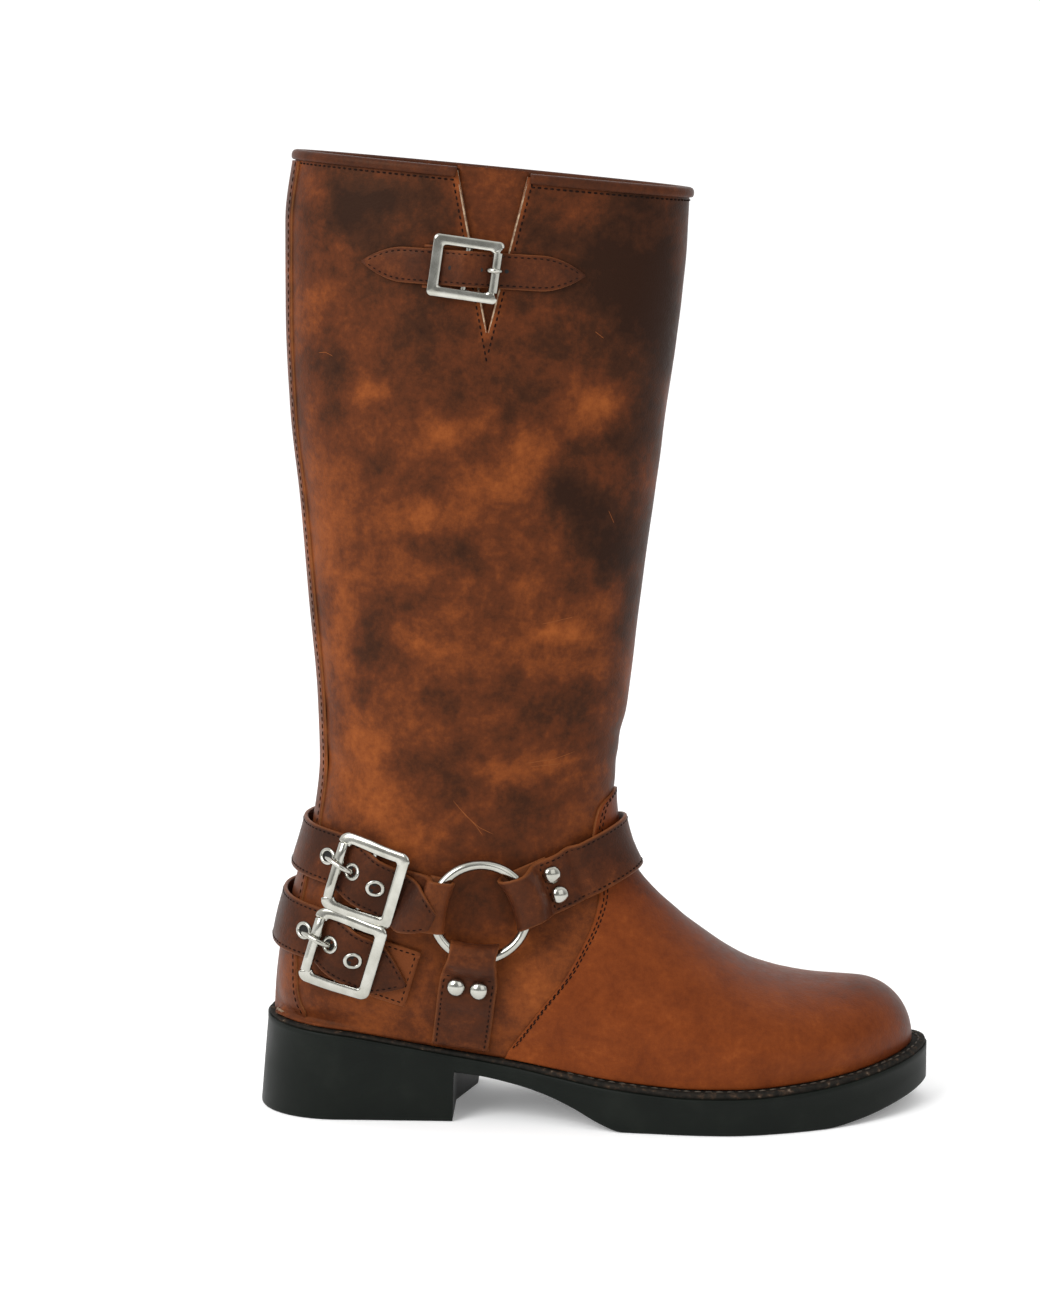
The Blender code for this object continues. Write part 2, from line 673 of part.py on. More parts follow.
welt_out = outline_loop(WELT_SETBACK, HEEL_TOP_BACK + WELT_SETBACK + 0.2, SOLE_LENGTH - WELT_SETBACK, 34)
welt_in = outline_loop(
    WELT_INSIDE + 4.0,
    HEEL_TOP_BACK + WELT_INSIDE + 4.0,
    SOLE_LENGTH - WELT_INSIDE - 6.0,
    34,
)
welt_rings = []
for (x_out, y_out), (x_in, y_in) in zip(welt_out, welt_in):
    low_out = float(rubber_top(x_out)) + GAP
    low_in = float(rubber_top(x_in)) + GAP
    welt_rings.append((
        (x_out, y_out, low_out),
        (x_out, y_out, low_out + float(welt_thick(x_out))),
        (x_in, y_in, low_in + float(welt_thick(x_in))),
        (x_in, y_in, low_in),
    ))
ring_loft("welt", welt_rings, "rubber")

# Insole: a plate inside the bottom edge of the upper, resting on the welt.
insole_rings = []
for turn in np.linspace(0.0, math.pi, 22):
    start = FEATHER_BACK + UPPER_WALL + 6.4
    end = FEATHER_FRONT - UPPER_WALL - 6.4
    x_here = start + (end - start) * (1 - math.cos(turn)) / 2
    margin_here = float(smooth(FEATHER_MARGIN["x"], FEATHER_MARGIN["margin"], x_here)) + UPPER_WALL + 2.4
    y_lateral, y_medial = plan_edges(x_here, margin_here, start, end)
    low = float(rubber_top(x_here) + welt_thick(x_here)) + 2 * GAP
    insole_rings.append((
        (x_here, float(y_lateral), low),
        (x_here, float(y_lateral), low + INSOLE_THICK),
        (x_here, float(y_medial), low + INSOLE_THICK),
        (x_here, float(y_medial), low),
    ))
loft("insole", insole_rings, "lining")

# Upper: outer surface from the section table, inner surface one wall inside it. The wall is two
# nodes that meet at the ankle, shaft and foot.
upper_stations = UPPER.stations(UPPER_ROWS)
wall_stations = np.insert(upper_stations, UPPER_ROWS[0], upper_stations[UPPER_ROWS[0] - 1] + ANKLE_GAP)
half_shares = 0.5 * (1.0 - (1.0 - np.linspace(0.0, 1.0, UPPER_AROUND + 1)) ** RIDGE_CROWDING)
upper_shares = np.concatenate((half_shares, 1.0 - half_shares[-2::-1]))
outer_grid = np.stack([UPPER.row(s, upper_shares) for s in wall_stations])
inner_grid = np.zeros_like(outer_grid)
seat_row = int((wall_stations <= UPPER.seat + 1e-6).sum()) - 1
for row_index in range(outer_grid.shape[0]):
    for column_index in range(outer_grid.shape[1]):
        spot, outward = SKIN.nearest(outer_grid[row_index, column_index])
        inner_grid[row_index, column_index] = outer_grid[row_index, column_index] - outward * UPPER_WALL
for row_index in range(seat_row, outer_grid.shape[0]):
    for column_index in (0, -1):
        inner_grid[row_index, column_index, 2] = outer_grid[row_index, column_index, 2]
for row_index in range(seat_row + 1):
    middle = (inner_grid[row_index, 0] + inner_grid[row_index, -1]) / 2
    inner_grid[row_index, 0] = middle
    inner_grid[row_index, -1] = middle
tip = inner_grid[-1].mean(axis=0)
inner_grid[-1, :] = tip
inner_grid[-1, :, 2] = outer_grid[-1, 0, 2]
shaft_part = shell("upper_shaft", outer_grid[:UPPER_ROWS[0]], inner_grid[:UPPER_ROWS[0]], "leather")
shell("upper_foot", outer_grid[UPPER_ROWS[0]:], inner_grid[UPPER_ROWS[0]:], "leather")

# V cut through the lateral wall of the collar.
slope_left = (NOTCH_TOP_LEFT - NOTCH_POINT_X) / (NOTCH_TOP_Z - NOTCH_POINT_Z)
slope_right = (NOTCH_TOP_RIGHT - NOTCH_POINT_X) / (NOTCH_TOP_Z - NOTCH_POINT_Z)
notch_high = NOTCH_TOP_Z + NOTCH_OVER - NOTCH_POINT_Z
notch_rings = []
for y_here in (-70.0, -8.0):
    notch_rings.append((
        (NOTCH_POINT_X, y_here, NOTCH_POINT_Z),
        (NOTCH_POINT_X + slope_right * notch_high, y_here, NOTCH_POINT_Z + notch_high),
        (NOTCH_POINT_X + slope_left * notch_high, y_here, NOTCH_POINT_Z + notch_high),
    ))
notch = loft("notch_cutter", notch_rings, "leather")
boolean(shaft_part, notch, "DIFFERENCE")

# Vamp: a sheet over the front of the upper, cut to its sewn edge in the side view.
vamp_outer = []
vamp_inner = []
for station in upper_stations[upper_stations > UPPER.knots[7] - 4.0]:
    outer_row = []
    inner_row = []
    row_shares = upper_shares
    if station < UPPER.seat:
        row_shares = upper_shares[VAMP_FIRST:len(upper_shares) - VAMP_FIRST]
    for share in row_shares:
        place, normal = SKIN.nearest(UPPER.row(station, [share])[0])
        for row, height in ((outer_row, VAMP_GAP + VAMP_THICK), (inner_row, VAMP_GAP)):
            spot = place + normal * height
            spot[2] = max(spot[2], float(feather_height(spot[0])) + 0.2)
            row.append(spot)
    while len(outer_row) < len(upper_shares):
        for row in (outer_row, inner_row):
            row.insert(0, row[0])
            row.append(row[-1])
    vamp_outer.append(outer_row)
    vamp_inner.append(inner_row)
vamp_outer[-1] = [np.mean(vamp_outer[-1], axis=0)] * len(upper_shares)
vamp_inner[-1] = [np.mean(vamp_inner[-1], axis=0)] * len(upper_shares)
vamp_part = shell("vamp", np.array(vamp_outer), np.array(vamp_inner), "leather")
vamp_line = np.stack((VAMP_EDGE["x"], VAMP_EDGE["z"]), axis=1)
vamp_reach = np.concatenate(([0.0], np.cumsum(np.linalg.norm(np.diff(vamp_line, axis=0), axis=1))))
vamp_steps = np.linspace(0.0, vamp_reach[-1], 20)
vamp_outline = np.stack([smooth(vamp_reach, vamp_line[:, k], vamp_steps) for k in range(2)], axis=1)
vamp_corners = list(vamp_outline)
vamp_corners += [(170.0, 140.0), (300.0, 140.0), (300.0, 5.0), (vamp_outline[0][0] - 8.0, 5.0)]
vamp_rings = []
for y_here in (-80.0, 80.0):
    vamp_rings.append([(x_here, y_here, z_here) for x_here, z_here in vamp_corners])
boolean(vamp_part, loft("vamp_cutter", vamp_rings, "leather"), "INTERSECT")

# Back stay: a strip of given half width on both sides of the back seam.
stay_stations = []
stay_shares = []
for station in upper_stations[:seat_row]:
    seam = UPPER.row(station, [0.0])[0]
    if seam[2] > STAY_TOP_Z:
        station = np.interp(-STAY_TOP_Z, -UPPER.table["back_z"][:3], UPPER.knots[:3])
        seam = UPPER.row(station, [0.0])[0]
    half = float(smooth(STAY["z"], STAY["half"], seam[2]))
    long_lateral, long_medial = UPPER.half_length(station)
    stay_stations.append(station)
    parts = np.linspace(1.0, 0.0, 5) * half / 2
    stay_shares.append(list(parts / long_lateral) + list(1.0 - parts[-2::-1] / long_medial))
shell_from("back_stay", stay_stations, stay_shares, STAY_GAP, STAY_GAP + STAY_THICK, "leather")


# Collar binding: a folded strip over the top edge, open at the V cut.
def share_at(station, x):
    """Share round the lateral half of a section where it lies at x."""
    shares = np.linspace(0.02, 0.48, 400)
    return float(np.interp(x, UPPER.row(station, shares)[:, 0], shares))


collar_z = 388.0
left_end = NOTCH_POINT_X + slope_left * (collar_z - NOTCH_POINT_Z) - 1.2
right_end = NOTCH_POINT_X + slope_right * (collar_z - NOTCH_POINT_Z) + 1.2
share_left = share_at(0.0, left_end)
share_right = share_at(0.0, right_end)
run = [share_right]
for share in upper_shares[:-1]:
    if share > share_right + 0.004:
        run.append(float(share))
for share in upper_shares:
    if share < share_left - 0.004:
        run.append(1.0 + float(share))
run.append(1.0 + share_left)
binding_rings = []
for share in run:
    at = share - 1.0 if share >= 1.0 else share
    top_point = UPPER.row(0.0, [at])[0]
    lower_point = UPPER.row(BINDING_DEEP, [at])[0]
    down = (lower_point - top_point) / np.linalg.norm(lower_point - top_point)
    outward = SKIN.nearest(top_point)[1]
    inside = -UPPER_WALL - GAP
    profile = (
        (GAP, BINDING_DEEP),
        (GAP + BINDING_THICK, BINDING_DEEP),
        (GAP + BINDING_THICK, 0.2),
        (GAP, -GAP - BINDING_THICK),
        (inside, -GAP - BINDING_THICK),
        (inside - BINDING_THICK, 0.2),
        (inside - BINDING_THICK, BINDING_DEEP),
        (inside, BINDING_DEEP),
        (inside, -GAP),
        (GAP, -GAP),
    )
    binding_rings.append([top_point + outward * out + down * deep for out, deep in profile])
loft("collar_binding", binding_rings, "strap")

# Gusset: a panel behind the V cut.
gusset_outer = []
gusset_inner = []
for way in np.linspace(0.0, 1.0, 5):
    station = 0.5 + way * (collar_z - NOTCH_POINT_Z + 6.0)
    z_here = collar_z - station
    margin_here = 0.5 + 5.5 * min(1.0, way * 4.0)
    x_left = NOTCH_POINT_X + slope_left * max(0.0, z_here - NOTCH_POINT_Z) - margin_here
    x_right = NOTCH_POINT_X + slope_right * max(0.0, z_here - NOTCH_POINT_Z) + margin_here
    sunk = UPPER_WALL + GAP + 0.3
    outer_row = []
    inner_row = []
    for x_here in np.linspace(x_left, x_right, 4):
        place, normal = SKIN.nearest(UPPER.row(station, [share_at(station, x_here)])[0])
        outer_row.append(place - normal * sunk)
        inner_row.append(place - normal * (sunk + GUSSET_THICK))
    gusset_outer.append(outer_row)
    gusset_inner.append(inner_row)
shell("gusset", np.array(gusset_outer), np.array(gusset_inner), "leather")


class Path:
    """A line along the upper's surface: a place is read by length, offset across and height."""

    def __init__(self, points):
        read = [SKIN.nearest(p) for p in points]
        self.points = np.array([place for place, _ in read])
        normals = np.array([normal for _, normal in read])
        steps = np.linalg.norm(np.diff(self.points, axis=0), axis=1)
        self.length = np.concatenate(([0.0], np.cumsum(steps)))
        tangent = np.gradient(self.points, axis=0)
        tangent /= np.linalg.norm(tangent, axis=1, keepdims=True)
        across = np.cross(normals, tangent)
        self.across = across / np.linalg.norm(across, axis=1, keepdims=True)
        self.total = float(self.length[-1])

    def place(self, along, across, height):
        point = np.array([np.interp(along, self.length, self.points[:, k]) for k in range(3)])
        side = np.array([np.interp(along, self.length, self.across[:, k]) for k in range(3)])
        spot, normal = SKIN.nearest(point + side * across)
        return spot + normal * height

    def nearest_length(self, x, z):
        far = (self.points[:, 0] - x) ** 2 + (self.points[:, 2] - z) ** 2
        far = far + np.where(self.points[:, 1] > 0, 1e6, 0.0)
        return float(self.length[np.argmin(far)])


def side_path(start, end, side, count=60):
    """A path that is straight in the side view."""
    rows = []
    for way in np.linspace(0.0, 1.0, count):
        x = start[0] + (end[0] - start[0]) * way
        z = start[1] + (end[1] - start[1]) * way
        rows.append(SKIN.side(x, z, side)[0])
    return Path(rows)


def heel_path(table):
    """A path round the heel from a table of angles and heights."""
    rows = []
    for angle in np.linspace(table["angle"][0], table["angle"][-1], 150):
        z = float(smooth(table["angle"], table["z"], angle))
        turn = math.radians(angle)
        rows.append(SKIN.hit((HEEL_AXIS_X, 0.0, z), (-math.sin(turn), -math.cos(turn), 0.0))[0])
    return Path(rows)


def ring_bow(along, across, total, looped):
    """How far a fold round a ring lies back at a distance from the strap's middle line."""
    inside = RING_RADIUS - RING_WIRE
    bow = inside - math.sqrt(inside ** 2 - across ** 2)
    if looped[0] and along < total / 2:
        return -bow * min(1.0, max(0.0, (BOW_END - along) / BOW_FADE))
    if looped[1] and along > total / 2:
        return bow * min(1.0, max(0.0, (BOW_END - total + along) / BOW_FADE))
    return 0.0


def ribbon(name, path, profile, half_width, thick, colour, looped=(False, False)):
    """A strap of even thickness along a profile of (length, height), on a path over the upper."""
    line = np.array(profile, float)
    tangent = np.gradient(line, axis=0)
    tangent /= np.linalg.norm(tangent, axis=1, keepdims=True)
    lift = np.stack((-tangent[:, 1], tangent[:, 0]), axis=1) * thick / 2
    outer = []
    inner = []
    for k in range(len(line)):
        half = half_width(line[k, 0])
        for rows, (along, height) in ((outer, line[k] + lift[k]), (inner, line[k] - lift[k])):
            here = []
            for across in (-half, 0.0, half):
                bow = ring_bow(along, across, path.total, looped)
                here.append(path.place(along + bow, across, height))
            rows.append(here)
    return shell(name, np.array(outer), np.array(inner), colour)


def ring_place(side):
    """Middle and axis of a harness ring that lies flat over the upper and clears it all round."""
    spots = []
    normals = []
    for turn in np.linspace(0.0, 2 * math.pi, 16, endpoint=False):
        x = RING_X + RING_RADIUS * math.cos(turn)
        z = RING_Z + RING_RADIUS * math.sin(turn)
        spot, normal = SKIN.side(x, z, side)
        spots.append(spot)
        normals.append(normal)
    axis = np.mean(normals, axis=0)
    axis /= np.linalg.norm(axis)
    place = SKIN.side(RING_X, RING_Z, side)[0]
    highest = max(float(np.dot(spot - place, axis)) for spot in spots)
    return place + axis * (max(highest, 0.0) + RING_CLEAR), axis


def ring_height(path, side, from_start):
    """Height of the ring over the upper where a strap folds round it."""
    middle, normal = ring_place(side)
    along = RING_RADIUS if from_start else path.total - RING_RADIUS
    toward = path.place(along, 0.0, 0.0) - middle
    toward = toward - normal * float(np.dot(toward, normal))
    spot = middle + toward / np.linalg.norm(toward) * RING_RADIUS
    return float(np.linalg.norm(spot - SKIN.nearest(spot)[0]))


def ring_end(height, tuck=33.0):
    """Profile of a strap end folded round a ring, from its tucked end out along the strap."""
    high = height + RING_WIRE + RING_LOOP + STRAP_THICK / 2
    middle = (high + STRAP_LOW) / 2
    radius = (high - STRAP_LOW) / 2
    rows = [(tuck, STRAP_LOW), ((tuck + FOLD) / 2, STRAP_LOW), (FOLD + 1.0, STRAP_LOW)]
    for turn in np.linspace(-90.0, -270.0, 6):
        angle = math.radians(turn)
        rows.append((FOLD + radius * math.cos(angle), middle + radius * math.sin(angle)))
    doubled = STRAP_LOW + STRAP_THICK + GAP + 0.2
    rows.append((LOOP_TOP, high))
    if tuck > LOOP_SLOPE[1]:
        rows += [(LOOP_SLOPE[0], high * 0.55 + doubled * 0.45), (LOOP_SLOPE[1], doubled)]
        rows += [(DOUBLED_END, doubled), (SINGLE_FROM, STRAP_LOW)]
    else:
        rows += [(tuck + 1.0, doubled), (tuck + 7.0, STRAP_LOW)]
    return rows


def torus(name, middle, axis, radius, wire, around, section, colour):
    axis = axis / np.linalg.norm(axis)
    first = np.cross(axis, (0.0, 0.0, 1.0))
    first /= np.linalg.norm(first)
    second = np.cross(axis, first)
    rings = []
    for turn in np.linspace(0.0, 2 * math.pi, around, endpoint=False):
        out = first * math.cos(turn) + second * math.sin(turn)
        ring = []
        for roll in np.linspace(0.0, 2 * math.pi, section, endpoint=False):
            ring.append(middle + out * (radius + wire * math.cos(roll)) + axis * wire * math.sin(roll))
        rings.append(ring)
    return ring_loft(name, rings, colour)


def rivet(name, place, axis):
    axis = axis / np.linalg.norm(axis)
    first = np.cross(axis, (0.3, 0.1, 1.0))
    first /= np.linalg.norm(first)
    second = np.cross(axis, first)
    rings = []
    for radius, height in ((1.0, 0.0), (0.92, 0.45), (0.4, 1.0)):
        ring = []
        for turn in np.linspace(0.0, 2 * math.pi, 8, endpoint=False):
            out = first * math.cos(turn) + second * math.sin(turn)
            ring.append(place + out * radius * RIVET_RADIUS + axis * height * RIVET_HIGH)
        rings.append(ring)
    return loft(name, rings, "steel")


def pin_cutter(name, low, high, radius):
    """A round cutter between two places."""
    axis = (high - low) / np.linalg.norm(high - low)
    first = np.cross(axis, (0.3, 0.1, 1.0))
    first /= np.linalg.norm(first)
    second = np.cross(axis, first)
    rings = []
    for spot in (low, high):
        ring = []
        for turn in np.linspace(0.0, 2 * math.pi, 10, endpoint=False):
            ring.append(spot + (first * math.cos(turn) + second * math.sin(turn)) * radius)
        rings.append(ring)
    return loft(name, rings, "strap")


def eyelet(name, path, middle, u, lift):
    """A metal ring on a heel strap that follows the strap's height."""
    rings = []
    for turn in np.linspace(0.0, 2 * math.pi, 12, endpoint=False):
        ring = []
        for radius, up in (
            (EYELET_HOLE, 0.0),
            (EYELET_RADIUS, 0.0),
            (EYELET_RADIUS - 0.5, EYELET_HIGH),
            (EYELET_HOLE, EYELET_HIGH),
        ):
            along = u + radius * math.cos(turn)
            height = float(np.interp(along, HEEL_BUCKLE_STRAP["u"], HEEL_BUCKLE_STRAP["h"]))
            ring.append(path.place(middle + along, radius * math.sin(turn), height + lift + up))
        rings.append(ring)
    return ring_loft(name, rings, "steel")


def buckle(name, path, middle, sizes, prong_rows, way):
    """Frame with a centre bar, roller on the end that the prong rests on, and prong; way is that end."""
    half_long = (sizes["long"] - sizes["bar"]) / 2
    half_wide = (sizes["wide"] - sizes["bar"]) / 2
    corner = sizes["round"]
    line = []
    for turn, u_sign, d_sign in ((0, 1, 1), (90, -1, 1), (180, -1, -1), (270, 1, -1)):
        for part_turn in (0, 30, 60, 90):
            angle = math.radians(turn + part_turn)
            u = u_sign * (half_long - corner) + corner * math.cos(angle)
            d = d_sign * (half_wide - corner) + corner * math.sin(angle)
            line.append((u, d, math.cos(angle), math.sin(angle)))
    line.insert(8 if way > 0 else 16, (-way * half_long, 0.0, -float(way), 0.0))
    rings = []
    for u, d, out_u, out_d in line:
        bar = sizes["bar"] / 2
        deep = sizes["deep"] / 2
        if u * way > 0 and abs(out_u) > 0.99:
            bar = ROLLER_CORE
            deep = ROLLER_CORE
        ring = []
        for out, up in ((1, 0.35), (0.5, 1), (-0.5, 1), (-1, 0.35), (-0.8, -1), (0.8, -1)):
            lift = sizes["arch"] * (u / half_long) ** 2
            ring.append(path.place(
                middle + u + out_u * out * bar, d + out_d * out * bar, sizes["height"] + lift + up * deep
            ))
        rings.append(ring)
    frame = ring_loft(name + "_frame", rings, "steel")
    bar_rings = []
    for d in np.linspace(-1.0, 1.0, 5) * (half_wide - 0.4):
        ring = []
        for turn in np.linspace(0.2, 0.2 + 2 * math.pi, 6, endpoint=False):
            ring.append(path.place(
                middle + CENTRE_BAR * math.cos(turn), d, sizes["centre"] + CENTRE_BAR * math.sin(turn)
            ))
        bar_rings.append(ring)
    centre_bar = loft(name + "_centre_bar", bar_rings, "steel")
    boolean(frame, centre_bar, "UNION")
    roller_rings = []
    for turn in np.linspace(0.0, 2 * math.pi, 10, endpoint=False):
        ring = []
        for radius, end in ((1, -1), (0, -1), (0, 1), (1, 1)):
            size = ROLLER_RADIUS if radius else ROLLER_BORE
            ring.append(path.place(
                middle + way * half_long + size * math.cos(turn),
                end * (half_wide - corner - 1.6),
                sizes["height"] + sizes["arch"] + size * math.sin(turn),
            ))
        roller_rings.append(ring)
    ring_loft(name + "_roller", roller_rings, "steel")
    prong_line = np.stack((prong_rows["u"], prong_rows["h"]), axis=1)
    tangent = np.gradient(prong_line, axis=0)
    tangent /= np.linalg.norm(tangent, axis=1, keepdims=True)
    prong_rings = []
    for (u, h), (t_u, t_h) in zip(prong_line, tangent):
        ring = []
        for turn in np.linspace(0.0, 2 * math.pi, 6, endpoint=False):
            rise = PRONG_RADIUS * math.sin(turn)
            ring.append(path.place(
                middle + way * (u - t_h * rise), PRONG_RADIUS * math.cos(turn), h + t_u * rise
            ))
        prong_rings.append(ring)
    loft(name + "_prong", prong_rings, "steel")


def strap_hole(strap, name, path, along, height, radius):
    low = path.place(along, 0.0, height - 3.0)
    high = path.place(along, 0.0, height + 3.0)
    boolean(strap, pin_cutter(name, low, high, radius), "DIFFERENCE")


# Harness rings.
for label, side in (("lateral", -1), ("medial", 1)):
    ring_middle, ring_axis = ring_place(side)
    torus("ring_" + label, ring_middle, ring_axis, RING_RADIUS, RING_WIRE, 24, 6, "steel")

# Front strap: over the instep from ring to ring.
front_rows = []
slant = math.radians(FRONT_STRAP_SLOPE)
for angle in np.linspace(0.0, math.pi, 140):
    front_rows.append(SKIN.hit(
        (RING_X, 0.0, FRONT_STRAP_Z),
        (math.sin(angle) * math.cos(slant), -math.cos(angle), math.sin(angle) * math.sin(slant)),
    )[0])
front_path = Path(front_rows)
lateral_height = ring_height(front_path, -1, True)
medial_height = ring_height(front_path, 1, False)
front_profile = ring_end(lateral_height)
for along in np.linspace(47.0, front_path.total - 47.0, 15):
    front_profile.append((along, OVER_PANEL))
for along, height in reversed(ring_end(medial_height)):
    front_profile.append((front_path.total - along, height))
ribbon(
    "strap_front",
    front_path,
    front_profile,
    lambda along: FRONT_STRAP_WIDE / 2,
    STRAP_THICK,
    "strap",
    (True, True),
)
rivet_height = STRAP_LOW + STRAP_THICK * 1.5 + 2 * GAP + 0.5
for label, side in (("lateral", -1), ("medial", 1)):
    along = FRONT_RIVET[0] if side < 0 else front_path.total - FRONT_RIVET[0]
    for number, across in ((1, -FRONT_RIVET[1]), (2, FRONT_RIVET[1])):
        low = front_path.place(along, across, rivet_height)
        rivet("rivet_front_%s_%d" % (label, number), low, low - front_path.place(along, across, 0.0))

# Down straps: from each ring to the sole, a little narrower in the ring.
def down_width(along):
    wide = float(np.interp(along, DOWN_STRAP_TAPER, (DOWN_STRAP_NARROW, 1.0)))
    return DOWN_STRAP_WIDE / 2 * wide


for label, side in (("lateral", -1), ("medial", 1)):
    down_path = side_path((RING_X, RING_Z), DOWN_STRAP_FOOT, side)
    down_profile = ring_end(ring_height(down_path, side, True))
    for along in np.linspace(46.0, down_path.total - 0.4, 4):
        down_profile.append((along, STRAP_LOW + 0.3))
    ribbon("strap_down_" + label, down_path, down_profile, down_width, STRAP_THICK, "strap", (True, False))
    for number, across in ((1, -DOWN_RIVET[1]), (2, DOWN_RIVET[1])):
        low = down_path.place(DOWN_RIVET[0], across, rivet_height)
        rivet("rivet_down_%s_%d" % (label, number), low, low - down_path.place(DOWN_RIVET[0], across, 0.0))


def tip_width(wide, tip_length):
    """Half width of a strap with a pointed tip at the start of its path."""
    def read(along):
        share = min(1.0, max(0.0, along / tip_length))
        return wide / 2 * (0.12 + 0.88 * math.sin(share * math.pi / 2) ** 0.8)
    return read


def heel_billet(path, middle, start_heights, end_rows):
    """Profile of a heel strap from its tip through its buckle and round the back."""
    rows = []
    for u, h in start_heights:
        rows.append((middle + u, h))
    for u, h in zip(HEEL_BUCKLE_STRAP["u"], HEEL_BUCKLE_STRAP["h"]):
        rows.append((middle + u, h))
    finish = end_rows[0][0] if end_rows else path.total - 0.5
    back = float(path.length[np.argmin(path.points[:, 0])])
    for along in np.linspace(middle + 36.0, finish - 7.0, 16):
        over = max(0.0, 1.0 - (max(0.0, abs(along - back) - 34.0) / 14.0))
        rows.append((along, STRAP_LOW + (OVER_PANEL - STRAP_LOW) * min(1.0, over)))
    if end_rows:
        rows += end_rows
    else:
        rows.append((finish, STRAP_LOW))
    return rows


# Upper heel strap: from the medial ring round the back, through the buckle, tip over the lateral ring.
upper_path = heel_path(HEEL_UPPER)
upper_middle = upper_path.nearest_length(*UPPER_BUCKLE_AT)
anchor_path = side_path((RING_X, RING_Z), (UPPER_BUCKLE_AT[0] - 1.0, UPPER_BUCKLE_AT[1]), -1)
anchor_height = ring_height(anchor_path, -1, True)
over_ring = anchor_height + RING_WIRE + RING_LOOP + STRAP_THICK * 1.5 + 3 * GAP
medial_rows = []
for along, height in reversed(ring_end(ring_height(upper_path, 1, False))):
    medial_rows.append((upper_path.total - along, height))
tip_rows = [
    (-upper_middle + 4.0, over_ring + 0.2),
    (-upper_middle + 8.0, over_ring + 0.2),
    (-24.4, over_ring),
    (-20.4, over_ring * 0.72 + 1.0),
    (-17.2, 6.0),
]
upper_rows = heel_billet(upper_path, upper_middle, tip_rows, medial_rows)
upper_strap = ribbon(
    "strap_heel_upper", upper_path, upper_rows, tip_width(HEEL_STRAP_WIDE, 13.0), STRAP_THICK, "strap",
    (False, True),
)
anchor_rows = ring_end(anchor_height, 23.4)
for along in np.linspace(37.0, anchor_path.total - 1.0, 3):
    anchor_rows.append((along, STRAP_LOW))
ribbon(
    "anchor_heel_upper", anchor_path, anchor_rows, lambda along: HEEL_STRAP_WIDE / 2, STRAP_THICK, "strap",
    (True, False),
)
buckle("buckle_heel_upper", upper_path, upper_middle, HEEL_BUCKLE, HEEL_PRONG, 1)

# Lower heel strap: round the back, through the buckle, tip over the sewn tab.
lower_path = heel_path(HEEL_LOWER)
lower_middle = lower_path.nearest_length(*LOWER_BUCKLE_AT)
low_tip = [(-lower_middle + start, LOW_TIP_HIGH) for start in (0.6, 4.5, 9.0)] + [(-19.0, LOW_TIP_HIGH)]
lower_rows = heel_billet(lower_path, lower_middle, low_tip, [])
lower_strap = ribbon(
    "strap_heel_lower", lower_path, lower_rows, tip_width(HEEL_STRAP_WIDE, 13.0), STRAP_THICK, "strap"
)
tab_path = side_path((LOWER_BUCKLE_AT[0] + 0.5, LOWER_BUCKLE_AT[1]), TAB_END, -1)
tab_rows = []
for share in np.linspace(0.0, 1.0, 6):
    tab_lift = GAP * float(np.interp(share, (0.4, 0.7), (0.0, 1.0)))
    tab_rows.append((tab_path.total * share, STRAP_LOW + tab_lift))
ribbon("anchor_tab_lower", tab_path, tab_rows, lambda along: TAB_WIDE / 2, STRAP_THICK, "strap")
buckle("buckle_heel_lower", lower_path, lower_middle, HEEL_BUCKLE, HEEL_PRONG, 1)

for label, strap, path, middle in (
    ("upper", upper_strap, upper_path, upper_middle),
    ("lower", lower_strap, lower_path, lower_middle),
):
    for number, u in enumerate(HEEL_HOLES, 1):
        height = float(smooth(HEEL_BUCKLE_STRAP["u"], HEEL_BUCKLE_STRAP["h"], u))
        strap_hole(strap, "hole_%s_%d" % (label, number), path, middle + u, height, EYELET_HOLE)
        eyelet("eyelet_%s_%d" % (label, number), path, middle, u, STRAP_THICK / 2 + GAP + 0.15)

# Top strap across the V cut, with its buckle and anchor tab.
top_path = side_path(TOP_STRAP_RIGHT, TOP_STRAP_LEFT, -1, 90)
top_middle = top_path.nearest_length(TOP_BUCKLE_AT, 350.1)
top_rows = []
for along in (0.2, 4.0, 9.0, top_middle - 30.0):
    top_rows.append((along, GAP + TOP_STRAP_THICK / 2))
for u, h in zip(TOP_BUCKLE_STRAP["u"], TOP_BUCKLE_STRAP["h"]):
    top_rows.append((top_middle - u, h))
top_rows = sorted(top_rows)
for along in (top_path.total - 10.0, top_path.total - 4.5, top_path.total - 0.2):
    top_rows.append((along, GAP + TOP_STRAP_THICK / 2))


def top_width(along):
    near = min(along, top_path.total - along)
    share = min(1.0, near / 9.0)
    return TOP_STRAP_WIDE / 2 * (0.12 + 0.88 * math.sin(share * math.pi / 2) ** 0.8)


top_strap = ribbon("strap_top", top_path, top_rows, top_width, TOP_STRAP_THICK, "strap")
strap_hole(top_strap, "hole_top", top_path, top_middle - TOP_HOLE, 3.0, 1.9)
top_tab_rows = []
for along in np.linspace(top_middle - 0.3, top_middle + 17.0, 5):
    top_tab_rows.append((along, GAP + TOP_TAB_THICK / 2))
ribbon("anchor_tab_top", top_path, top_tab_rows, lambda along: TOP_TAB_WIDE / 2, TOP_TAB_THICK, "strap")
buckle("buckle_top", top_path, top_middle, TOP_BUCKLE, TOP_PRONG, -1)

# Everything is moved so that the origin lies under the middle of the boot.
bpy.context.view_layer.update()
lows = []
highs = []
for part in MADE:
    spots = np.array([corner.co for corner in part.data.vertices])
    lows.append(spots.min(axis=0))
    highs.append(spots.max(axis=0))
low_corner = np.min(lows, axis=0)
high_corner = np.max(highs, axis=0)
for part in bpy.context.scene.collection.objects:
    part.location = (
        -(low_corner[0] + high_corner[0]) / 2,
        -(low_corner[1] + high_corner[1]) / 2,
        -low_corner[2],
    )
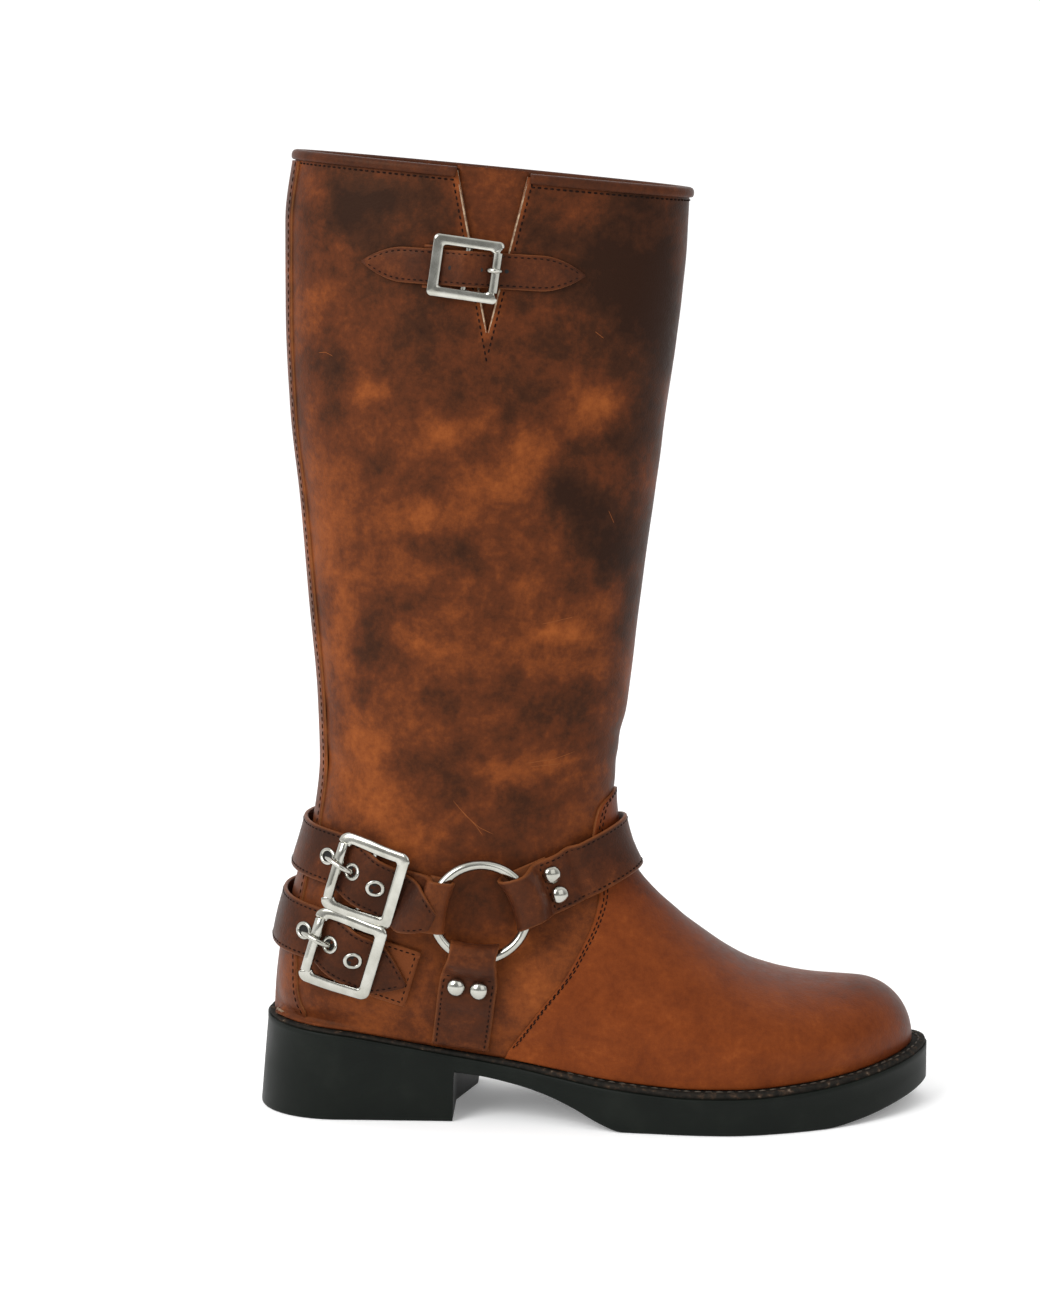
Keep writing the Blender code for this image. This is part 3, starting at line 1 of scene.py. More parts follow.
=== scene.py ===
"""Looks of the tall biker boot for the right foot, standing empty on its sole.

Lengths are millimetres in the boot's own frame: x runs from the back of the heel to the toe, y is
negative on the lateral side and positive on the medial side, z is up from the floor.
"""
import math
import bpy
import numpy as np
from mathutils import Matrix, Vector, noise
from mathutils.bvhtree import BVHTree
from mathutils.interpolate import poly_3d_calc


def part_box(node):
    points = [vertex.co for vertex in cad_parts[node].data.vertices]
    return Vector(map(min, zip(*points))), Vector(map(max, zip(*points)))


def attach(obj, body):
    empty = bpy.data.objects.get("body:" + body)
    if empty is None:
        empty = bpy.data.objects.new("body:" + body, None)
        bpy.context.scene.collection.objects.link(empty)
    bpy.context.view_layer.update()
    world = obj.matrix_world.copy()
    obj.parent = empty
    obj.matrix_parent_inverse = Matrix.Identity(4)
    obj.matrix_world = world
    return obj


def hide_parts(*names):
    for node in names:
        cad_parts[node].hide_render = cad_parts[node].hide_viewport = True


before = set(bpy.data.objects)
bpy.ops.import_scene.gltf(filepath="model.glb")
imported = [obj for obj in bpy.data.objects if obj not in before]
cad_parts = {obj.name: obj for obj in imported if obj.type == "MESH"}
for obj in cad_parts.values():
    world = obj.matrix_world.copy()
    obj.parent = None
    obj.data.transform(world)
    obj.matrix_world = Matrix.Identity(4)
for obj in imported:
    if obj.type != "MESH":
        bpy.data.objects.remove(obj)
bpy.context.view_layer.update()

# Sole unit: one black rubber moulding with heel block, shank, forefoot and toe spring.
# Its side is smooth with a fine lip along the top, its treads have moulded cross grooves.
SOLE_LENGTH = 280.0
HEEL_BREAST_LATERAL = 82.0
HEEL_BREAST_MEDIAL = 90.0
HEEL_TOP_BACK = 3.0
HEEL_FLARE = 1.0
HEEL_ROUND_END = 36.0
HEEL_ROUNDNESS = 2.1
TOE_ROUND_START = 190.0
TOE_ROUNDNESS = 1.92
SOLE_PLAN = {
    "x": (0.0, 36.0, 60.0, 85.0, 105.0, 125.0, 145.0, 165.0, 185.0, 205.0, 225.0, 245.0, 258.0, 270.0, 280.0),
    "mid": (0.0, 0.0, -0.5, -1.5, -3.7, -5.5, -6.5, -4.5, -2.5, -0.5, 1.5, 4.0, 6.2, 8.5, 11.0),
    "half": (33.0, 33.0, 33.0, 32.5, 32.2, 34.5, 39.5, 44.5, 48.5, 50.2, 50.0, 50.0, 50.0, 50.0, 50.0),
}
SOLE_SIDE = {
    "x": (0.0, 20.0, 36.0, 61.0, 84.0, 102.0, 143.0, 184.0, 205.0, 225.0, 245.0, 265.0, 280.0),
    "top": (38.8, 37.6, 35.9, 31.8, 27.8, 25.0, 18.6, 15.5, 15.6, 16.6, 18.5, 21.6, 24.3),
    "welt": (1.0, 1.0, 1.0, 1.0, 1.1, 1.3, 1.9, 2.0, 2.0, 2.0, 2.0, 2.0, 2.0),
}
SOLE_UNDER = {
    "x": (80.0, 93.0, 107.0, 120.0, 133.0, 143.0, 152.0, 235.0, 251.0, 267.0, 280.0),
    "z": (21.0, 19.6, 16.8, 13.2, 7.8, 2.8, 0.0, 0.0, 2.2, 6.0, 9.5),
}
# Side of the moulding from the underside to the top: inset, share of the height, lift.
SOLE_SECTION = (
    (3.0, 0.0, 0.0), (1.3, 0.0, 0.0), (0.4, 0.0, 0.4), (0.0, 0.0, 1.4), (0.2, 0.5, 0.0), (0.15, 1.0, -2.9),
    (-0.25, 1.0, -2.3), (-0.3, 1.0, -1.0), (0.05, 1.0, -0.3), (0.8, 1.0, 0.0), (3.0, 1.0, 0.0),
)
TREAD_PITCH = 7.8
TREAD_DEEP = 1.3
TREAD_ZONES = ((9.0, 74.0), (156.0, 238.0))
TREAD_GROOVE = (0.55, 0.9)
TREAD_RIM = (6.0, 6.8)
SOLE_STEP = 1.3
SHANK = (94.0, 150.0)
FOREFOOT = (152.0, 240.0)
# The section is drawn in where the sole is narrower than this, and the full heel flares out below.
SECTION_WIDE = 16.0
HEEL_WIDE = 66.0
FLARE_END = 70.0
outsole_low, outsole_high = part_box("outsole")


def smooth(xs, ys, at):
    """Monotone cubic curve through the rows of a table."""
    xs = np.asarray(xs, float)
    ys = np.asarray(ys, float)
    at = np.clip(np.asarray(at, float), xs[0], xs[-1])
    step = np.diff(xs)
    slope = np.diff(ys) / step
    tangent = np.zeros(len(xs))
    tangent[0] = slope[0]
    tangent[-1] = slope[-1]
    for k in range(1, len(xs) - 1):
        if slope[k - 1] * slope[k] > 0:
            first = 2 * step[k] + step[k - 1]
            second = step[k] + 2 * step[k - 1]
            tangent[k] = (first + second) / (first / slope[k - 1] + second / slope[k])
    k = np.clip(np.searchsorted(xs, at, side="right") - 1, 0, len(xs) - 2)
    t = (at - xs[k]) / step[k]
    return (
        (1 + 2 * t) * (1 - t) ** 2 * ys[k]
        + t * (1 - t) ** 2 * step[k] * tangent[k]
        + t * t * (3 - 2 * t) * ys[k + 1]
        + t * t * (t - 1) * step[k] * tangent[k + 1]
    )


def plan_edges(x, inset, back, front):
    """Lateral and medial edge of an outline inside the sole's plan."""
    heel = np.clip((HEEL_ROUND_END - x) / (HEEL_ROUND_END - back), 0.0, 1.0)
    toe = np.clip((x - TOE_ROUND_START) / (front - TOE_ROUND_START), 0.0, 1.0)
    heel_share = (1.0 - heel ** HEEL_ROUNDNESS) ** (1.0 / HEEL_ROUNDNESS)
    toe_share = (1.0 - toe ** TOE_ROUNDNESS) ** (1.0 / TOE_ROUNDNESS)
    mid = smooth(SOLE_PLAN["x"], SOLE_PLAN["mid"], x)
    half = (smooth(SOLE_PLAN["x"], SOLE_PLAN["half"], x) - inset) * heel_share * toe_share
    return mid - half, mid + half


def rubber_top(x):
    return smooth(SOLE_SIDE["x"], SOLE_SIDE["top"], x)


def welt_thick(x):
    return smooth(SOLE_SIDE["x"], SOLE_SIDE["welt"], x)


plan_x = np.linspace(0.0, SOLE_LENGTH, 800)
plan_low, plan_high = plan_edges(plan_x, 0.0, 0.0, SOLE_LENGTH)
SHIFT = np.array((
    outsole_low.x * 1000.0,
    (outsole_low.y + outsole_high.y) * 500.0 - (plan_low.min() + plan_high.max()) / 2,
    outsole_low.z * 1000.0,
))


def to_world(points):
    """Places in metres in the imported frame, from millimetres in the boot's frame."""
    return (np.asarray(points, float) + SHIFT) * 0.001


def sheet(name, rows, marks=None, closed=False):
    """A grid primitive moved onto rows of places, each mark a value per place; a closed one is joined up."""
    rows = np.asarray(rows, float)
    marks = marks or {}
    if closed:
        rows = np.concatenate((rows, rows[:, :1]), axis=1)
    count, across = rows.shape[:2]
    bpy.ops.object.select_all(action="DESELECT")
    bpy.ops.mesh.primitive_grid_add(x_subdivisions=across - 1, y_subdivisions=count - 1, size=1.0)
    piece = bpy.context.object
    piece.name = name
    piece.data.name = name
    piece.data.vertices.foreach_set("co", to_world(rows).ravel())
    for mark, values in marks.items():
        values = np.asarray(values, float)
        if closed:
            values = np.concatenate((values, values[:, :1]), axis=1)
        layer = piece.data.attributes.new(mark, "FLOAT", "POINT")
        layer.data.foreach_set("value", values.ravel())
    bpy.ops.object.mode_set(mode="EDIT")
    bpy.ops.mesh.select_all(action="SELECT")
    bpy.ops.mesh.remove_doubles(threshold=2e-6)
    if closed:
        bpy.ops.mesh.normals_make_consistent(inside=False)
    bpy.ops.object.mode_set(mode="OBJECT")
    bpy.ops.object.shade_smooth()
    return piece


def fasten(piece, slot, material, *nodes):
    """A piece takes its material, rides on the boot and stands for its nodes; slot is not used."""
    if material is not None:
        piece.data.materials.clear()
        piece.data.materials.append(material)
    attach(piece, "root")
    if nodes:
        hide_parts(*nodes)
    return piece


def node(tree, kind, inputs=None, **settings):
    """A shader node with its settings; inputs are values or sockets to link, by name or number."""
    made = tree.nodes.new(kind)
    for key, value in settings.items():
        setattr(made, key, value)
    for key, value in (inputs or {}).items():
        if isinstance(value, bpy.types.NodeSocket):
            tree.links.new(value, made.inputs[key])
        else:
            made.inputs[key].default_value = value
    return made


def new_material(name, settings=None):
    """A material with only its shader and output; settings go on the shader's own sockets."""
    material = bpy.data.materials.new(name)
    material.use_nodes = True
    tree = material.node_tree
    tree.nodes.clear()
    shader = node(tree, "ShaderNodeBsdfPrincipled", settings)
    node(tree, "ShaderNodeOutputMaterial", {"Surface": shader.outputs["BSDF"]})
    return material, tree, shader


def ramp(tree, value, stops):
    """A colour ramp through stops of position and colour."""
    made = node(tree, "ShaderNodeValToRGB", {"Fac": value})
    while len(made.color_ramp.elements) < len(stops):
        made.color_ramp.elements.new(0.5)
    for element, (place, colour) in zip(made.color_ramp.elements, stops):
        element.position = place
        element.color = tuple(colour) + (1.0,)
    return made.outputs["Color"]


def speckled(name, stops, scale, detail, settings):
    """A material coloured by noise of one scale; the noise is given back for other uses."""
    material, tree, shader = new_material(name, settings)
    place = node(tree, "ShaderNodeTexCoord").outputs["Object"]
    speck = node(tree, "ShaderNodeTexNoise", {"Vector": place, "Scale": scale, "Detail": detail})
    tree.links.new(ramp(tree, speck.outputs["Fac"], stops), shader.inputs["Base Color"])
    return material, tree, shader, speck.outputs["Fac"]


def tread_depth(x):
    """Depth of the moulded grooves under the sole at x."""
    for low, high in TREAD_ZONES:
        if low < x < high:
            phase = (x - low) / TREAD_PITCH % 1.0
            return TREAD_DEEP if TREAD_GROOVE[0] < phase < TREAD_GROOVE[1] else 0.0
    return 0.0


def sole_ring(x_lateral, x_medial, under):
    """A ring of the moulding across its width, from the lateral underside over the top and back below."""
    lateral = float(plan_edges(x_lateral, 0.0, 0.0, SOLE_LENGTH)[0])
    medial = float(plan_edges(x_medial, 0.0, 0.0, SOLE_LENGTH)[1])
    wide = medial - lateral
    squeeze = min(1.0, wide / SECTION_WIDE)
    lean = HEEL_TOP_BACK * max(0.0, 1.0 - x_lateral / HEEL_ROUND_END)
    flare = HEEL_FLARE * min(1.0, wide / HEEL_WIDE) * max(0.0, 1.0 - x_lateral / FLARE_END)
    ring = []
    for side, x_here, edge in ((-1, x_lateral, lateral), (1, x_medial, medial)):
        top = float(rubber_top(x_here + lean))
        half = []
        for inset, share, lift in SOLE_SECTION:
            y_here = edge + side * (flare * (1.0 - share) - inset * squeeze)
            half.append((x_here + lean * share, y_here, under + (top - under) * share + lift))
        ring += half if side < 0 else half[::-1]
    groove = tread_depth(x_lateral) if under < 0.01 else 0.0
    middle = (lateral + medial) / 2
    rim, low = TREAD_RIM
    for side, inset, deep in ((1, rim, 0.0), (1, low, 1.0), (0, 0.0, 1.0), (-1, low, 1.0), (-1, rim, 0.0)):
        edge = medial if side > 0 else lateral
        y_here = edge - side * inset * squeeze if side else middle
        x_here = x_medial if side > 0 else x_lateral
        ring.append((x_here, y_here, under + groove * deep))
    return ring


sole_rows = []
for turn in np.linspace(0.0, math.pi / 2, 22):
    x_here = HEEL_ROUND_END * (1.0 - math.cos(turn))
    sole_rows.append(sole_ring(x_here, x_here, 0.0))
for x_here in np.arange(HEEL_ROUND_END + SOLE_STEP, HEEL_BREAST_LATERAL - 1.0, SOLE_STEP):
    sole_rows.append(sole_ring(x_here, x_here, 0.0))
for share, z_here in ((0.0, 0.0), (0.1, 0.4), (0.3, 3.0), (0.5, 15.0), (1.0, None)):
    x_here = HEEL_BREAST_LATERAL + share
    z_here = float(smooth(SOLE_UNDER["x"], SOLE_UNDER["z"], x_here)) if z_here is None else z_here
    sole_rows.append(sole_ring(x_here, x_here + HEEL_BREAST_MEDIAL - HEEL_BREAST_LATERAL, z_here))
forepart = np.concatenate((
    np.linspace(SHANK[0], SHANK[1], 24),
    np.arange(FOREFOOT[0], FOREFOOT[1], SOLE_STEP),
    FOREFOOT[1] + (SOLE_LENGTH - FOREFOOT[1]) * np.sin(np.linspace(0.02, math.pi / 2, 26)),
))
for x_here in forepart:
    sole_rows.append(sole_ring(x_here, x_here, float(smooth(SOLE_UNDER["x"], SOLE_UNDER["z"], x_here))))
outsole = sheet("boot_outsole", sole_rows, closed=True)
bpy.ops.object.shade_smooth_by_angle(angle=math.radians(38))

RUBBER_STOPS = (
    (0.3, (0.0035, 0.005, 0.0038)), (0.55, (0.005, 0.0068, 0.0052)), (0.8, (0.009, 0.0112, 0.0088)),
)
rubber, tree, shader, smudge = speckled("rubber", RUBBER_STOPS, 60.0, 5.0, {"Specular IOR Level": 0.12})
place = node(tree, "ShaderNodeTexCoord").outputs["Object"]
fine = node(tree, "ShaderNodeTexNoise", {"Vector": place, "Scale": 1400.0, "Detail": 2.0}).outputs["Fac"]
rough = node(tree, "ShaderNodeMapRange", {"Value": smudge, "To Min": 0.38, "To Max": 0.6}).outputs["Result"]
tree.links.new(rough, shader.inputs["Roughness"])
bump = node(tree, "ShaderNodeBump", {"Strength": 0.12, "Distance": 0.0002, "Height": fine})
tree.links.new(bump.outputs["Normal"], shader.inputs["Normal"])
fasten(outsole, "rubber_black", rubber, "outsole")

# Welt: a black strip that the upper stands on, glued on the moulding and sewn at the forefoot.
# Its top is worn, with pale flecks, and the thread lies in it all round the front.
GAP = 0.3
WELT_SETBACK = 0.7
WELT_INSIDE = 13.0
WELT_BED = 0.05
WELT_SECTION = (
    (0.0, 0.0), (0.0, 0.6), (0.02, 0.9), (0.06, 1.0), (0.2, 1.0), (0.24, 0.88), (0.28, 1.0), (1.0, 1.0),
    (1.0, 0.0),
)
WELT_STITCHES_FROM = 128.0
WELT_STITCHES_IN = 3.6
STITCH_LONG = 2.5
STITCH_PITCH = 3.3
STITCH_THICK = 0.36


def outline_loop(inset, back, front, count):
    """Points round an outline inside the sole's plan, from the heel along the lateral side to the toe."""
    turns = np.linspace(0.0, math.pi, count + 1)
    x = back + (front - back) * (1 - np.cos(turns)) / 2
    lateral, medial = plan_edges(x, inset, back, front)
    one = np.stack((x, lateral), axis=1)
    other = np.stack((x, medial), axis=1)[1:-1]
    return np.vstack((one, other[::-1]))


welt_out = outline_loop(WELT_SETBACK, HEEL_TOP_BACK + WELT_SETBACK + 0.2, SOLE_LENGTH - WELT_SETBACK, 150)
welt_in = outline_loop(WELT_INSIDE, HEEL_TOP_BACK + WELT_INSIDE, SOLE_LENGTH - WELT_INSIDE - 2.0, 150)
welt_rows = []
for outer, inner in zip(welt_out, welt_in):
    row = []
    for across, up in WELT_SECTION:
        x_here, y_here = outer + (inner - outer) * across
        z_here = float(rubber_top(x_here)) + WELT_BED + up * (GAP + float(welt_thick(x_here)))
        row.append((x_here, y_here, z_here))
    welt_rows.append(row)
welt_rows.append(welt_rows[0])
welt = sheet("boot_welt", welt_rows, closed=True)


def run_length(line):
    """Length along a line of places, from its start to each of them."""
    return np.concatenate(([0.0], np.cumsum(np.linalg.norm(np.diff(line, axis=0), axis=1))))


def at_length(line, length, at):
    """Values of a line at a length along it."""
    return np.array([np.interp(at, length, line[:, k]) for k in range(line.shape[1])])


def thread_row(points, normals, pitch=STITCH_PITCH):
    """Middles, directions and normals of stitches along a line of places."""
    points = np.asarray(points, float)
    normals = np.asarray(normals, float)
    length = run_length(points)
    count = max(1, int(length[-1] / pitch))
    row = []
    for k in range(count):
        middle = (k + 0.5) * length[-1] / count
        normal = at_length(normals, length, middle)
        along = at_length(points, length, middle + 0.5) - at_length(points, length, middle - 0.5)
        size = np.linalg.norm(along)
        if size > 1e-6:
            row.append((at_length(points, length, middle), along / size, normal / np.linalg.norm(normal)))
    return row


def joined(name, points, faces, slot, material):
    """Many small forms as one mesh, from arrays of places and faces."""
    mesh = bpy.data.meshes.new(name)
    mesh.from_pydata([tuple(p) for p in to_world(points)], [], faces)
    piece = bpy.data.objects.new(name, mesh)
    bpy.context.scene.collection.objects.link(piece)
    return fasten(piece, slot, material)


def sew(name, rows, slot, material, long=STITCH_LONG, thick=STITCH_THICK):
    """All stitches of a seam group as one mesh: short threads with tapered ends."""
    places = [stitch for row in rows for stitch in row]
    turns = np.linspace(0.0, 2 * math.pi, 6, endpoint=False)
    base = []
    for x, radius in ((-0.5, 0.15), (-0.36, 0.8), (0.0, 1.0), (0.36, 0.8), (0.5, 0.15)):
        for turn in turns:
            sink = math.sin(turn) * radius - (1 - radius)
            base.append((x * long, math.cos(turn) * radius * thick, sink * thick))
    base = np.array(base)
    faces = []
    for k in range(4):
        for j in range(6):
            faces.append((k * 6 + j, k * 6 + (j + 1) % 6, k * 6 + 6 + (j + 1) % 6, k * 6 + 6 + j))
    faces.append((5, 4, 3, 2, 1, 0))
    faces.append((24, 25, 26, 27, 28, 29))
    points = []
    all_faces = []
    for number, (middle, along, normal) in enumerate(places):
        across = np.cross(normal, along)
        points.append(middle + base[:, :1] * along + base[:, 1:2] * across + base[:, 2:] * normal)
        all_faces += [tuple(corner + 30 * number for corner in face) for face in faces]
    piece = joined(name, np.vstack(points), all_faces, slot, material)
    for face in piece.data.polygons:
        face.use_smooth = True
    return piece


WELT_STOPS = (
    (0.3, (0.008, 0.008, 0.007)), (0.56, (0.018, 0.015, 0.012)), (0.66, (0.045, 0.028, 0.018)),
    (0.76, (0.15, 0.12, 0.09)),
)
worn, tree, shader, dust = speckled(
    "worn_welt", WELT_STOPS, 420.0, 4.0, {"Roughness": 0.8, "Specular IOR Level": 0.08}
)
bump = node(tree, "ShaderNodeBump", {"Strength": 0.4, "Distance": 0.0004, "Height": dust})
tree.links.new(bump.outputs["Normal"], shader.inputs["Normal"])
fasten(welt, "rubber_black", worn, "welt")

DARK_THREAD = ((0.35, (0.005, 0.0025, 0.002)), (0.7, (0.02, 0.009, 0.006)))
PALE_THREAD = ((0.35, (0.02, 0.016, 0.012)), (0.65, (0.085, 0.065, 0.045)))
thread = speckled("thread_dark", DARK_THREAD, 900.0, 2.0, {"Specular IOR Level": 0.05, "Roughness": 0.7})[0]
pale_thread = speckled("thread_pale", PALE_THREAD, 500.0, 2.0, {"Roughness": 0.75})[0]
line = outline_loop(
    WELT_STITCHES_IN, HEEL_TOP_BACK + WELT_STITCHES_IN, SOLE_LENGTH - WELT_STITCHES_IN, 200
)
line = line[line[:, 0] > WELT_STITCHES_FROM]
line = np.column_stack((line, rubber_top(line[:, 0]) + GAP + welt_thick(line[:, 0]) - 0.05))
up = np.tile((0.0, 0.0, 1.0), (len(line), 1))
sew("boot_welt_stitches", [thread_row(line, up, 4.4)], "rubber_black", pale_thread, 3.4, 0.5)

# Insole: a plain leather plate that the foot stands on, cut to the inside of the upper's bottom edge.
# It is glued down on the welt and closes the upper from below.
INSOLE_THICK = 3.0
INSOLE_ENDS = 6.4
INSOLE_SIDES = 2.4
# Bevel of its top edge: share of the width, height.
INSOLE_BEVEL = (0.03, 0.6)
FEATHER_BACK = 5.6
FEATHER_FRONT = 272.2
FEATHER_MARGIN = {
    "x": (0.0, 36.0, 85.0, 125.0, 165.0, 205.0, 280.0),
    "margin": (2.6, 2.6, 3.2, 4.2, 5.2, 5.6, 5.6),
}
UPPER_WALL = 2.0
insole_start = FEATHER_BACK + UPPER_WALL + INSOLE_ENDS
insole_end = FEATHER_FRONT - UPPER_WALL - INSOLE_ENDS
inward, drop = INSOLE_BEVEL
insole_rows = []
for turn in np.linspace(0.0, math.pi, 60):
    x_here = insole_start + (insole_end - insole_start) * (1 - math.cos(turn)) / 2
    margin = float(smooth(FEATHER_MARGIN["x"], FEATHER_MARGIN["margin"], x_here)) + UPPER_WALL + INSOLE_SIDES
    y_low, y_high = plan_edges(x_here, margin, insole_start, insole_end)
    z_here = float(rubber_top(x_here) + welt_thick(x_here)) + 2 * GAP
    z_top = z_here + INSOLE_THICK
    insole_rows.append([
        (x_here, y_low, z_here), (x_here, y_low, z_top - drop),
        (x_here, y_low * (1 - inward) + y_high * inward, z_top),
        (x_here, y_low * inward + y_high * (1 - inward), z_top),
        (x_here, y_high, z_top - drop), (x_here, y_high, z_here),
    ])
insole = sheet("boot_insole", insole_rows, closed=True)
LINING_STOPS = ((0.3, (0.2, 0.115, 0.06)), (0.7, (0.36, 0.23, 0.13)))
lining = speckled("lining", LINING_STOPS, 90.0, 6.0, {"Roughness": 0.85})[0]
fasten(insole, "lining_tan", lining, "insole")

# Upper: shaft and foot of oiled pull-up leather, lasted over the foot's form and open at the collar.
# The leather is a sheet 2 mm thick with a V cut at the lateral side of the collar and raw cut edges.
UPPER_SECTIONS = (
    # back_x, back_z, front_x, front_z, swing, lateral, medial, level, rise, low, high
    (18.2, 395.0, 177.6, 379.8, 0.0, 40.5, 40.5, 0.50, 0.0, 0.56, 0.57),
    (14.6, 368.0, 176.4, 355.0, 0.0, 42.0, 42.0, 0.50, 0.0, 0.56, 0.57),
    (14.4, 330.0, 172.6, 320.0, 0.0, 43.2, 43.2, 0.50, 0.0, 0.56, 0.57),
    (15.8, 292.0, 167.6, 284.0, 0.0, 43.4, 43.4, 0.50, 0.0, 0.56, 0.57),
    (19.6, 254.0, 163.0, 249.0, 0.0, 42.4, 42.4, 0.50, 0.0, 0.56, 0.57),
    (22.8, 212.0, 157.9, 209.0, 0.0, 40.6, 40.6, 0.50, 0.0, 0.56, 0.57),
    (26.0, 172.0, 153.1, 170.0, 0.0, 38.6, 38.6, 0.49, 0.0, 0.57, 0.56),
    (26.6, 147.0, 149.4, 148.0, 0.0, 37.4, 37.4, 0.48, 0.0, 0.58, 0.55),
    (23.8, 122.0, 147.8, 132.5, 0.0, 37.0, 36.8, 0.47, 0.0, 0.62, 0.53),
    (16.0, 95.0, 148.8, 120.5, 0.0, 36.8, 36.4, 0.46, 0.0, 0.67, 0.52),
    (9.8, 70.0, 151.2, 110.8, 0.0, 36.6, 36.2, 0.45, 0.0, 0.71, 0.51),
    (7.4, 52.0, 154.0, 103.8, 0.0, 36.8, 36.2, 0.45, 0.0, 0.72, 0.51),
    (6.6, None, 157.2, 98.2, 0.0, 37.0, 36.2, 0.45, 0.0, 0.72, 0.51),
    (36.0, None, 162.6, 92.0, 0.0, 38.2, 36.8, 0.45, 74.0, 0.62, 0.51),
    (62.0, None, 166.6, 87.8, 0.2, 39.4, 37.4, 0.46, 78.0, 0.58, 0.51),
    (92.0, None, 171.0, 83.8, 0.5, 41.0, 38.2, 0.46, 78.0, 0.56, 0.51),
    (122.0, None, 177.0, 78.4, 0.8, 43.6, 39.0, 0.45, 78.0, 0.55, 0.51),
    (150.0, None, 185.0, 72.2, 1.0, 46.2, 40.4, 0.43, 78.0, 0.55, 0.52),
    (175.0, None, 195.0, 64.9, 1.4, 48.2, 42.0, 0.40, 78.0, 0.55, 0.54),
    (196.0, None, 206.0, 58.6, 2.0, 48.8, 43.2, 0.38, 78.0, 0.55, 0.56),
    (213.0, None, 217.0, 54.8, 2.8, 47.4, 41.4, 0.37, 78.0, 0.55, 0.58),
)
SECTION_COLUMNS = (
    "back_x", "back_z", "front_x", "front_z", "swing", "lateral", "medial", "level", "rise", "low", "high",
)
TOE_RIDGE = {
    "x": (213.0, 220.0, 229.0, 240.0, 250.0, 273.0),
    "z": (54.8, 53.4, 52.1, 51.4, 50.9, 49.6),
    "swing": (2.8, 3.2, 3.9, 5.1, 6.3, 9.2),
}
TOE_CAP_START = 248.0
TOE_CAP_ROUNDNESS = 2.25
TOE_SWELL = 1.8
TOE_BLUNT = 0.04
# Rows of the surface on shaft, heel, foot and toe, and places round each.
UPPER_ROWS = (84, 48, 66, 34)
UPPER_PLACES = 141
# Rows before and after the seat whose turn is eased, and how often.
EASED_ROWS = (12, 22)
EASED_TIMES = 60
NOTCH_TOP = (85.2, 114.6, 391.0)
NOTCH_POINT = (97.4, 325.0)
NOTCH_SIDE_Y = -15.0
slope_left = (NOTCH_TOP[0] - NOTCH_POINT[0]) / (NOTCH_TOP[2] - NOTCH_POINT[1])
slope_right = (NOTCH_TOP[1] - NOTCH_POINT[0]) / (NOTCH_TOP[2] - NOTCH_POINT[1])
# Soft waves of the leather: depth, scale across, scale up; they fade out to the lasted edge.
WAVES = ((0.35, 0.02, 0.017), (0.16, 0.06, 0.06))
WAVES_FADE = (45.0, 60.0)
# Soft creases in the side view: both ends, half width, depth, side (0 is both sides).
CREASES = (
    ((132.0, 165.0), (150.0, 158.0), 6.0, -0.9, 0),
    ((120.0, 150.0), (148.0, 146.0), 5.0, -0.7, 0),
    ((96.0, 138.0), (126.0, 140.0), 7.0, -0.6, -1),
    ((40.0, 146.0), (24.0, 150.0), 6.0, -0.8, 0),
    ((52.0, 160.0), (28.0, 168.0), 7.0, -0.6, 0),
    ((60.0, 205.0), (120.0, 214.0), 16.0, -0.7, -1),
    ((70.0, 262.0), (130.0, 250.0), 18.0, -0.7, 1),
    ((110.0, 300.0), (165.0, 296.0), 14.0, -0.6, -1),
)
